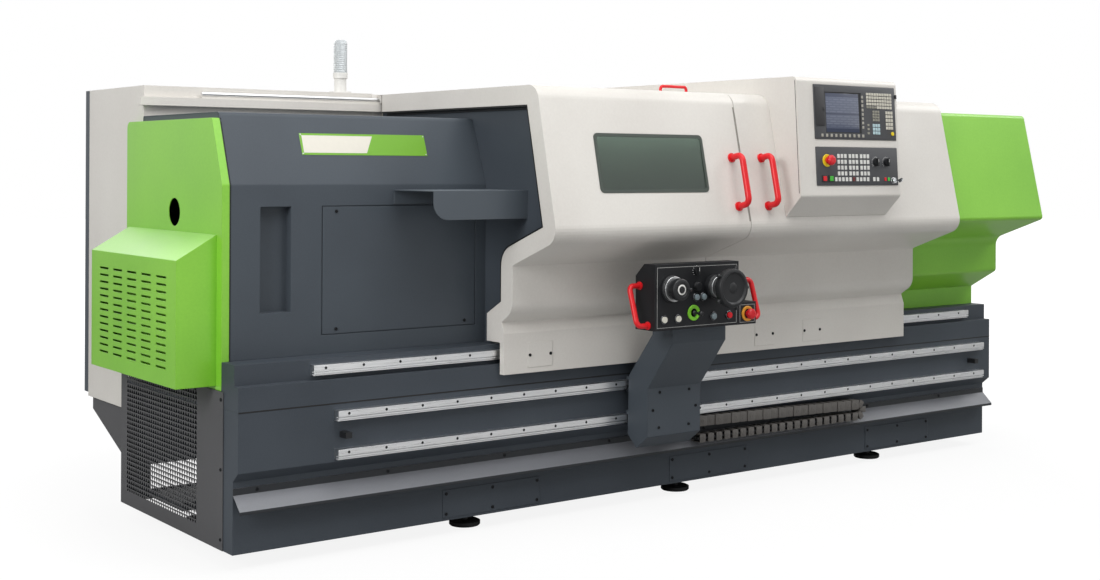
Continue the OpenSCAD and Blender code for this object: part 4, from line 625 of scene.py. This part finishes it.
# A liquid crystal screen behind glass: a cool grey picture of plain bars and fields, glossy in front
glass = bpy.data.materials.new("liquid_crystal_screen")
glass.use_nodes = True
tree = glass.node_tree
shader = tree.nodes["Principled BSDF"]
shader.inputs["Roughness"].default_value = 0.12
shader.inputs["Emission Strength"].default_value = 0.1
here = add(tree, "ShaderNodeTexCoord").outputs["Object"]
corner = at(panel_x + screen_x - screen_w / 2, 0, display_z + screen_z - screen_h / 2)
unit = add(tree, "ShaderNodeMapping",
           {"Location": (-corner.x * 1000 / screen_w, 0, -corner.z * 1000 / screen_h),
            "Scale": (1000 / screen_w, 0, 1000 / screen_h)}, {"Vector": here})
axes = add(tree, "ShaderNodeSeparateXYZ", links={"Vector": unit.outputs["Vector"]})
flat = add(tree, "ShaderNodeCombineXYZ", links={"X": axes.outputs["X"], "Y": axes.outputs["Z"]})
# The bars and the dark fields are shares of the screen's width and height
bars = add(tree, "ShaderNodeTexBrick",
           {"Scale": 1.0, "Brick Width": 0.21, "Row Height": 0.062, "Mortar Size": 0.02,
            "Color1": colour("#666c7d"), "Color2": colour("#5d6374"), "Mortar": colour("#545a6b")},
           {"Vector": flat.outputs["Vector"]})
head = add(tree, "ShaderNodeMath", {"operation": "GREATER_THAN", 1: 0.9}, {0: axes.outputs["Z"]})
line = add(tree, "ShaderNodeMath", {"operation": "COMPARE", 1: 0.47, 2: 0.025}, {0: axes.outputs["Z"]})
foot = add(tree, "ShaderNodeMath", {"operation": "LESS_THAN", 1: 0.1}, {0: axes.outputs["Z"]})
ends = add(tree, "ShaderNodeMath", {"operation": "MAXIMUM"},
           {0: head.outputs["Value"], 1: foot.outputs["Value"]})
dark = add(tree, "ShaderNodeMath", {"operation": "MAXIMUM"},
           {0: ends.outputs["Value"], 1: line.outputs["Value"]})
picture = add(tree, "ShaderNodeMix", {"data_type": "RGBA", 7: colour("#3f4557")},
              {0: dark.outputs["Value"], 6: bars.outputs["Color"]})
tree.links.new(picture.outputs[2], shader.inputs["Base Color"])
tree.links.new(picture.outputs[2], shader.inputs["Emission Color"])
screen = slab((screen_w, 2, screen_h), (screen_x, -0.6, screen_z), 0.5)
screen.matrix_world = display
settle(screen, "screen", glass, "right_door")


def keys(name, front_face, key, spots, material):
    """Bevelled keys of a size [width, height, proud] at places on a front of the control box, in mm."""
    width, height, proud = key
    field_of_keys = repeat(slab((width, proud + 1, height), (0, -4 - (proud - 1) / 2, 0), 0.9, 1),
                           [front_face @ Matrix.Translation((x / 1000, 0, z / 1000)) for x, z in spots])
    settle(field_of_keys, name, material, "right_door")


# Silicone keys are matt and even, each group in a tone of its own
cream_key = moulded("cream_key_silicone", "#c8c4b7", 0.5)
stone_key = moulded("stone_grey_key_silicone", "#a5a298", 0.5)
grey_key = moulded("grey_key_silicone", "#8f8d82", 0.5)
blue_key = moulded("pale_blue_key_silicone", "#b3ccd2", 0.5)
soft_keys = [(-200 + 26.4 * k, -93) for k in range(10)]
side_keys = [(40, 64 - 17.4 * k) for k in range(8)]
keys("soft_keys", display, (11.5, 12, 2), soft_keys, stone_key)
keys("side_keys", display, (10, 11, 2), side_keys, stone_key)
# The last row of the letter keys starts with four keys for editing
letter_x, letter_z, letter_dx, letter_dz, letter_rows = 71, 77, 15.5, 13.2, 5
letters = [(letter_x + letter_dx * c, letter_z - letter_dz * r)
           for r in range(letter_rows) for c in range(10) if r < 4 or c > 3]
numbers = [(184 + 15 * c, 4 - 15.5 * r) for r in range(5) for c in range(3)]
keys("letter_keys", display, (12.6, 10.6, 2), letters, cream_key)
keys("number_keys", display, (12.4, 12.4, 2), numbers, cream_key)
editing = [(105 + 14.5 * c, 7 - 11.4 * r) for r in range(4) for c in range(3)]
editing += [(letter_x + letter_dx * c, letter_z - letter_dz * 4) for c in range(4)]
editing += [(letter_x, -48 - 16.5 * r) for r in range(3)]
keys("editing_keys", display, (12, 9, 2), editing, grey_key)
cursor = [(104 + 15 * c, -49 - 15 * r) for r in range(3) for c in range(3)]
keys("cursor_keys", display, (12.4, 12.4, 2), cursor, blue_key)
reset_key = turned([[8, 3], [8, 6], [7, 7], [3, 7.2]], 24)
reset_key.matrix_world = display @ Matrix.Translation((0.216, 0, -0.0815)) @ FRONT
yellow_abs = moulded("yellow_moulded_abs", "#f0d428", 0.35)
settle(reset_key, "reset_key", yellow_abs, "right_door")



# Control panel
# A second grey front with white keys, two override knobs, an emergency stop on a yellow disc, a pair of
# lit keys and a key switch.
def bored(part, radius, place):
    """Cuts a round hole along Z, of a radius in mm, through a part at a place in its own frame."""
    drill = turned([[radius, -30], [radius, 30]])
    drill.matrix_world = place
    cut = part.modifiers.new("hole", "BOOLEAN")
    cut.object = drill
    bpy.context.view_layer.objects.active = part
    bpy.ops.object.modifier_apply(modifier=cut.name)
    bpy.data.objects.remove(drill)
    return part


panel = leaning(panel_x, -407.36, 1328, panel_lean)
stop_place = Matrix.Translation((-0.18, 0, 0.022)) @ FRONT
stop_bore = 11.8
front = bored(slab((478, 8, 152), edge=2), stop_bore, stop_place)
front.matrix_world = panel
front = settle(front, "control_front", panel_plastic, "right_door")
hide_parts("control_panel")
# Keys and caps of ABS from a polished mould: smooth, with a clear gloss
white_key = moulded("white_key_abs", "#dcdcd8", 0.4)
red_abs = moulded("red_moulded_abs", "#d8202a", 0.3)
green_abs = moulded("green_moulded_abs", "#46b83c", 0.3)
stop_red = moulded("red_stop_abs", "#d2222b", 0.28)
key_size, small_size, lit_size = (13, 16, 2.4), (11, 14, 2.4), (19, 19, 5.5)
row_x, row_z, row_dx, red_in_row = -132.5, -52, 20.8, 5
jog = [(-114 + 66.5 * g + 20 * c, 40 - 23 * r) for g in range(3) for c in range(3) for r in range(4)]
jog += [(row_x + row_dx * k, row_z) for k in range(10) if k != red_in_row] + [(92, row_z), (114, row_z)]
keys("machine_keys", panel, key_size, jog, white_key)
keys("stop_key", panel, key_size, [(row_x + row_dx * red_in_row, row_z)],
     moulded("dark_red_key_abs", "#6b2b2a", 0.4))
lit_red, lit_green = (-198, -49), (-161, -49)
keys("lit_key_frames", panel, (30, 27, 3), [lit_red, lit_green], black_abs)
keys("red_lit_key", panel, lit_size, [lit_red], red_abs)
keys("green_lit_key", panel, lit_size, [lit_green], green_abs)
keys("small_red_key", panel, small_size, [(160, row_z)], red_abs)
keys("small_green_key", panel, small_size, [(180, row_z)], green_abs)
ring = bored(turned([[25, 3], [25, 5.6], [24, 6.6], [14, 6.6], [13, 6.2]]), stop_bore, Matrix())
ring.matrix_world = panel @ stop_place
settle(ring, "panel_stop_disc", yellow_abs, "right_door")
finish_nodes(stop_red, "panel_stop")
finish_nodes(black_abs, "spindle_override", "feed_override")
white_ink = printed("white_printed_ink", "#e8e8e6", 0.45)


def scale_marks(front_face, x, z, radius, sweep, count, mark, out):
    """Printed marks [width, length] in an arc about a dial, at a height out of the face, in mm."""
    centre = front_face @ Matrix.Translation((x / 1000, -out / 1000, z / 1000))
    turns = [math.radians(-sweep / 2 + sweep * k / (count - 1)) for k in range(count)]
    return repeat(slab((mark[0], 0.4, mark[1]), (0, 0, radius), 0.1, 1),
                  [centre @ Matrix.Rotation(turn, 4, "Y") for turn in turns])


for x, knob in ((104, "spindle_override"), (168, "feed_override")):
    settle(scale_marks(panel, x, 16, 21, 260, 15, (1.2, 5), 4.1), knob + "_scale", white_ink, "right_door")
    pointer = slab((1.8, 0.5, 13), (x, -22.1, 22), 0.2, 1)
    pointer.matrix_world = panel
    settle(pointer, knob + "_pointer", white_ink, knob)
# The key stands in its lock, turned a little; both are bright, from polishing under the plating
chrome = ground_metal("nickel_plated_brass", "#c6c8ca", 0.22, (6, 6, 6))
key_turn = 35
lock_place = panel @ Matrix.Translation((0.206, 0, -0.058))
lock = turned([[12.5, 3], [12.5, 6], [11, 7], [11, 15], [9.6, 16], [9.2, 14.6]], 32)
lock.matrix_world = lock_place @ FRONT
blade = slab((2.2, 22, 8), (0, -26, 0), 0.6)
bow = turned([[10, -1.2], [11, -0.6], [11, 0.6], [10, 1.2]], 24)
bow.matrix_world = Matrix.Translation((0, -0.044, 0)) @ Matrix.Rotation(math.radians(90), 4, "Y")
bit = joined([blade, bow])
bit.matrix_world = lock_place @ Matrix.Rotation(math.radians(key_turn), 4, "Y") @ bit.matrix_world
settle(joined([lock, bit]), "key_switch", chrome, "right_door")

# Pendant carriage
# A column welded from plate, in the slate coat, that runs on the two rails. A plate held by six screws
# covers its rollers.
finish_nodes(slate_coat, "pendant_carriage")
carriage_y = -152
spots = [(1664, 464), (1814, 464), (1630, 398), (1848, 398), (1660, 330), (1812, 330)]
screws("carriage_screws", "pendant", [facing(x, carriage_y, z) for x, z in spots])

# Pendant box
# A sheet-metal box in black satin paint. Its front carries printed borders, dials, push buttons in bezels,
# a joystick on a green ring and an emergency stop on an amber one.
black_paint = powder_coat("black_satin_powder_coat", "#202124", "#18191b", 0.46, 0.2, 4, 0.3)
finish_nodes(black_paint, "pendant_box")
pendant_front = Matrix.Translation(at(1457, -360, 727))


def on_front(x, z):
    """A place in mm on the pendant's front, from its lower left corner, with Z pointing out."""
    return pendant_front @ Matrix.Translation((x / 1000, 0, z / 1000)) @ FRONT


def border(x0, z0, x1, z1, width):
    """A printed frame on the pendant's front, in mm from its lower left corner."""
    bars = []
    for x in (x0, x1):
        bars.append(slab((width, 0.5, z1 - z0 + width), (x, -0.15, (z0 + z1) / 2), 0.1, 1))
    for z in (z0, z1):
        bars.append(slab((x1 - x0 - width, 0.5, width), ((x0 + x1) / 2, -0.15, z), 0.1, 1))
    return bars


border_w = 1.6
borders = joined(border(11, 10, 406, 229, border_w) + border(425, 8, 501, 74, border_w))
borders.matrix_world = pendant_front
settle(borders, "pendant_border", printed("grey_printed_ink", "#a8a8a6", 0.45), "pendant")
finish_nodes(red_abs, "stop_button")
finish_nodes(stop_red, "pendant_stop")
# Caps and rings of ABS from a polished mould, smooth and slightly glossy
cream_abs = moulded("cream_moulded_abs", "#e2dfd2", 0.35)
finish_nodes(cream_abs, "start_button")
# Bezels turned from brass and chromed dark: bright rims, with the polishing drawn coarser than it is
dark_chrome = ground_metal("dark_chromed_brass", "#6b6d70", 0.25, (6, 6, 6))
bezel = turned([[16.5, 0.1], [16.5, 3.4], [15.4, 4.4], [12.6, 4.4], [12.0, 3.2]], 32)
start, hold, low_lamp, stop, left_lamp, right_lamp = [
    on_front(x, z) for x, z in ((42, 40), (110, 40), (287, 40), (366, 40), (200, 115), (236, 115))]
settle(repeat(bezel, [start, hold, low_lamp, stop, left_lamp, right_lamp]), "button_bezels", dark_chrome,
       "pendant")
cap = turned([[11.4, 3], [11.4, 9.6], [10.4, 10.8], [6, 11.2], [5, 10.8]], 32)
settle(repeat(cap, [hold]), "hold_button_cap", cream_abs, "pendant")
# Lamps that are off: grey, smooth and glossy
lamp_grey = moulded("grey_lamp_polycarbonate", "#86949a", 0.2)
cap = turned([[11.6, 3], [11.6, 8], [10, 10.5], [6, 11.6], [2, 12]], 32)
settle(repeat(cap, [low_lamp, left_lamp, right_lamp]), "lamp_caps", lamp_grey, "pendant")
leaf_abs = moulded("leaf_green_moulded_abs", "#7ac62e", 0.32)
ring = bored(turned([[29, 0.1], [29, 3.6], [27.8, 4.8], [17.4, 4.8], [16.6, 4.4]]), 16, Matrix())
joystick_place = on_front(188, 58)
ring.matrix_world = joystick_place
settle(ring, "joystick_ring", leaf_abs, "pendant")
ring = bored(turned([[29, 0.1], [29, 4.2], [28, 5], [20, 5], [19.2, 4.6]]), 18.6, Matrix())
ring.matrix_world = on_front(463, 40)
settle(ring, "pendant_stop_disc", moulded("amber_moulded_abs", "#eaa63c", 0.35), "pendant")
dial_x, mode_z, step_z = 203, 212, 155
settle(scale_marks(pendant_front, dial_x, mode_z, 18.5, 270, 11, (2, 2), 0.15), "mode_dial_scale", white_ink,
       "pendant")
step_dial = turned([[16, 0.1], [16, 7], [14.6, 9], [14.4, 15], [13.4, 16], [9, 16.2]], 36)
step_dial.matrix_world = on_front(dial_x, step_z)
settle(step_dial, "step_dial", black_abs, "pendant")
finish_nodes(black_abs, "mode_dial")
pointer = slab((1.8, 0.5, 14), (dial_x, -16.1, mode_z + 6), 0.2, 1)
pointer.matrix_world = pendant_front
settle(pointer, "mode_dial_pointer", white_ink, "mode_dial")

# Joystick
# A turned lever with a grip moulded in black nylon, sealed by a small boot. It tilts in a ball socket under
# the pendant's front.
lever = turned([[6, 1.5], [8.5, 3.5], [8.5, 6.5], [6, 9.5], [5, 13], [4.5, 28], [8, 31], [9.4, 39], [9, 46],
                [6, 49.5], [3, 50]], 32)
lever.matrix_world = joystick_place
lever = settle(lever, "joystick_lever", black_nylon, "joystick")
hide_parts("joystick")

# Left handwheel
# A pulse wheel: a black base, a scale ring of matt aluminium with cut marks, and a ribbed nylon hub with a
# white ring and a small crank knob.
wheel = on_front(78, 151)


def around(part, frame_of_wheel, count, radius, height):
    """A part repeated round a wheel at a radius and a height in mm."""
    return repeat(part, [frame_of_wheel @ Matrix.Rotation(2 * math.pi * k / count, 4, "Z")
                         @ Matrix.Translation((radius / 1000, 0, height / 1000)) for k in range(count)])


def scale_cuts(frame_of_wheel, radius, height):
    """Fifty marks cut into a wheel's scale ring and blackened."""
    return around(slab((0.5, 0.9, 7), edge=0.1, segments=1), frame_of_wheel, 50, radius, height)


base = turned([[49, 0.4], [49, 7], [47.5, 8.5], [40, 8.5]])
base.matrix_world = wheel
hub = turned([[38, 20], [38, 35], [40, 37], [40, 56], [38, 59], [36, 60], [27, 60], [25, 58], [8, 58]])
hub.matrix_world = wheel
ribs = around(slab((1.4, 2.8, 17), edge=0.4, segments=1), wheel, 40, 40, 46.5)
middle = turned([[12.6, 57], [12.6, 60.4], [11.6, 61.2], [4, 61.4]], 32)
middle.matrix_world = wheel
crank = turned([[4, 57], [4, 62], [6.5, 64], [7.4, 70], [6.6, 76], [3.5, 78]], 24)
crank.matrix_world = wheel @ Matrix.Translation((0.028, 0, 0))
hub = settle(joined([base, hub, middle, ribs, crank]), "left_wheel_hub", black_nylon, "left_handwheel")
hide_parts("left_handwheel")
ring = turned([[46, 8], [46, 21], [45, 22], [34, 22]])
ring.matrix_world = wheel
settle(ring, "left_wheel_scale", matt_aluminium, "left_handwheel")
settle(scale_cuts(wheel, 46, 16), "left_wheel_marks", black_oxide, "left_handwheel")
ring = turned([[19, 57.5], [19, 59.6], [18, 60.2], [14, 60.2], [13.4, 58.6]])
ring.matrix_world = wheel
settle(ring, "left_wheel_ring", white_abs, "left_handwheel")

# Right handwheel
# A disc moulded in black nylon with five grips round its ribbed rim, on a neck above a scale band of matt
# aluminium. It turns by hand on the pendant's front.
wheel = on_front(287, 151)
base = turned([[45, 0.4], [45, 22], [43.5, 24], [36, 24]])
base.matrix_world = wheel
disc = turned([[27, 36], [27, 78], [61, 80], [68, 82], [72, 87], [72, 107], [70, 112], [66, 114], [59, 114],
               [56, 110], [53, 107.5], [20, 106], [17, 108], [8, 108.5]], 64)
disc.matrix_world = wheel
ALONG = Matrix.Rotation(math.radians(90), 4, "Y")
grip = baked(turned([[6.4, 0], [7, 1.5], [7, 15], [6, 19], [3, 20.8]], 24), ALONG)
grips = around(grip, wheel, 5, 66, 97)
ribs = around(slab((1.2, 3.2, 18), edge=0.4, segments=1), wheel, 66, 71.9, 97)
disc = settle(joined([base, disc, grips, ribs]), "right_wheel", black_nylon, "right_handwheel")
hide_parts("right_handwheel")
ring = turned([[41, 23], [41, 37], [40, 38], [26, 38]])
ring.matrix_world = wheel
settle(ring, "right_wheel_scale", matt_aluminium, "right_handwheel")
settle(scale_cuts(wheel, 41, 31), "right_wheel_marks", black_oxide, "right_handwheel")

# Energy chain
# Links moulded in grey-brown nylon, each two side plates with cross bars, snapped together. The lower run
# lies on the sill, and the upper run is pulled along by the pendant.
chain_nylon = moulded("grey_brown_chain_nylon", "#605d5a", 0.5, 5.0, 0.3)
chain_x, chain_y, lower_z, loop_z, upper_z, link_pitch = 2909.3, -21, 221.7, 265.7, 268, 45


def link(length, plate, spread):
    """One link from x = 0: side plates of a length, a spread apart from the middle, bosses and cross bars."""
    parts = [slab((plate, 4.6, 33), (length / 2, y, 17), 1.6) for y in (-spread, spread)]
    parts += [slab((length * 0.6, 2 * spread + 4, 4), (length / 2, 0, z), 1.2) for z in (2.2, 31.8)]
    for y in (-spread - 2.2, spread + 1.4):
        boss = turned([[9, 0], [9, 0.6], [8.2, 1.0], [4, 1.0], [3.6, 0.3]], 16)
        parts.append(baked(boss, Matrix.Translation((length / 2000, y / 1000, 0.017)) @ FRONT))
    return joined(parts)


lower = repeat(link(link_pitch, 31, 22.5),
               [Matrix.Translation(at(chain_x - link_pitch * k, chain_y, lower_z)) for k in range(1, 22)])
lower = settle(lower, "chain_lower_run", chain_nylon, "machine")
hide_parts("energy_chain")
cable_x, cable_z, cable_gap = 1964.3, 238, 13.4
cable = turned([[5, 0], [6.5, 4], [6.5, 941], [5, 945]], 16)
cables = repeat(cable, [Matrix.Translation(at(cable_x, chain_y + y, cable_z)) @ ALONG
                        for y in (-cable_gap, 0, cable_gap)])
settle(cables, "chain_cables", black_rubber, "machine")
loop_r, loop_link = 44, 27
loop = [Matrix.Translation(at(chain_x, chain_y, loop_z)) @ Matrix.Rotation(math.radians(-turn), 4, "Y")
        @ Matrix.Translation((-loop_link / 2000, 0, -loop_r / 1000)) for turn in (30, 90, 150)]
# The upper run's links are taller, and it rises to its clamp on the pendant
rise_degrees, upper_height = 1.2, 1.2
rising = (Matrix.Translation(at(chain_x, chain_y, upper_z))
          @ Matrix.Rotation(math.radians(rise_degrees), 4, "Y") @ Matrix.Diagonal((1, 1, upper_height, 1)))
steps = [rising @ Matrix.Translation((-link_pitch / 1000 * k, 0, 0)) for k in range(1, 24)]
upper = joined([repeat(link(loop_link, 25.4, 22.5), loop), repeat(link(link_pitch, 44, 22.5), steps[0::2]),
                repeat(link(link_pitch, 44, 19.5), steps[1::2])])
upper = settle(upper, "chain_upper_run", chain_nylon, None)
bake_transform(upper)

# Studio
# A pale floor, soft light from above the operator's side and a level camera where the photo was taken, its
# view shifted down. The camera sees the floor white, with the shadow close to the machine left in it.
bpy.ops.mesh.primitive_plane_add(size=60, location=(0, 0, -0.0005))
floor = bpy.context.active_object
floor.name = "floor"
pale = bpy.data.materials.new("pale_floor")
pale.use_nodes = True
tree = pale.node_tree
shader = tree.nodes["Principled BSDF"]
shader.inputs["Base Color"].default_value = colour("#a8a8a8")
shader.inputs["Roughness"].default_value = 0.9
glow = add(tree, "ShaderNodeEmission", {"Color": (1, 1, 1, 1), "Strength": 1.18})
rays = add(tree, "ShaderNodeLightPath")
here = add(tree, "ShaderNodeTexCoord").outputs["Object"]
away = add(tree, "ShaderNodeVectorMath", {"operation": "LENGTH"}, {0: here})
white = add(tree, "ShaderNodeMapRange", {"From Min": 2.0, "From Max": 6.0, "To Min": 0.75, "To Max": 1.0},
            {"Value": away.outputs["Value"]})
share = add(tree, "ShaderNodeMath", {"operation": "MULTIPLY"},
            {0: rays.outputs["Is Camera Ray"], 1: white.outputs["Result"]})
mixed = add(tree, "ShaderNodeMixShader",
            links={0: share.outputs["Value"], 1: shader.outputs[0], 2: glow.outputs[0]})
tree.links.new(mixed.outputs[0], tree.nodes["Material Output"].inputs["Surface"])
floor.data.materials.append(pale)

# The world is white where it is seen, directly or in a gloss, and lights the machine less than that
world = bpy.data.worlds.new("studio")
bpy.context.scene.world = world
world.use_nodes = True
tree = world.node_tree
background = tree.nodes["Background"]
rays = add(tree, "ShaderNodeLightPath")
mirrored = add(tree, "ShaderNodeMath", {"operation": "MAXIMUM"},
               {0: rays.outputs["Is Camera Ray"], 1: rays.outputs["Is Glossy Ray"]})
seen = add(tree, "ShaderNodeMath", {"operation": "MAXIMUM"},
           {0: mirrored.outputs["Value"], 1: rays.outputs["Is Transmission Ray"]})
level = add(tree, "ShaderNodeMapRange", {"To Min": 0.31, "To Max": 1.0}, {"Value": seen.outputs["Value"]})
background.inputs["Color"].default_value = (1, 1, 1, 1)
tree.links.new(level.outputs["Result"], background.inputs["Strength"])


def softbox(name, place, target, size, watts):
    """A large soft lamp aimed at a point."""
    lamp = bpy.data.lights.new(name, "AREA")
    lamp.shape = "RECTANGLE"
    lamp.size, lamp.size_y = size
    lamp.energy = watts
    stand = bpy.data.objects.new(name, lamp)
    bpy.context.collection.objects.link(stand)
    aim = Vector(target) - Vector(place)
    stand.matrix_world = Matrix.Translation(place) @ aim.to_track_quat("-Z", "Y").to_matrix().to_4x4()


softbox("overhead_light", (-0.6, -2.6, 5.4), (0.0, -0.5, 1.0), (4.0, 4.0), 185)
softbox("left_light", (-7.0, -2.5, 3.5), (-1.0, -0.2, 1.1), (3.0, 3.0), 265)
softbox("right_light", (5.5, -2.6, 5.1), (0.8, -0.5, 1.2), (3.0, 3.0), 150)
softbox("front_fill", (0.5, -7.5, 1.0), (0.6, -0.4, 0.7), (5.0, 1.5), 28)
softbox("rear_light", (-1.0, 4.5, 4.5), (0.0, 0.3, 1.0), (3.0, 3.0), 110)
# The machine's own lamp behind the window
softbox("work_light", at(2300, 800, 1600), at(2300, 800, 900), (1.6, 0.05), 3)

camera_place, forward_x, forward_y, roll_degrees = (-3.9635, -4.964, 1.323), 0.6008, 0.7994, 0.29
photo_camera = bpy.data.cameras.new("photo_camera")
photo_camera.lens = 48.96
photo_camera.sensor_width = 36
photo_camera.shift_y = -0.1127
tripod = bpy.data.objects.new("photo_camera", photo_camera)
bpy.context.collection.objects.link(tripod)
level_view = Matrix.Rotation(-math.atan2(forward_x, forward_y), 4, "Z") @ FRONT
roll = Matrix.Rotation(math.radians(roll_degrees), 4, "Z")
tripod.matrix_world = Matrix.Translation(camera_place) @ level_view @ roll
bpy.context.scene.camera = tripod
bpy.context.scene.view_settings.view_transform = "Standard"
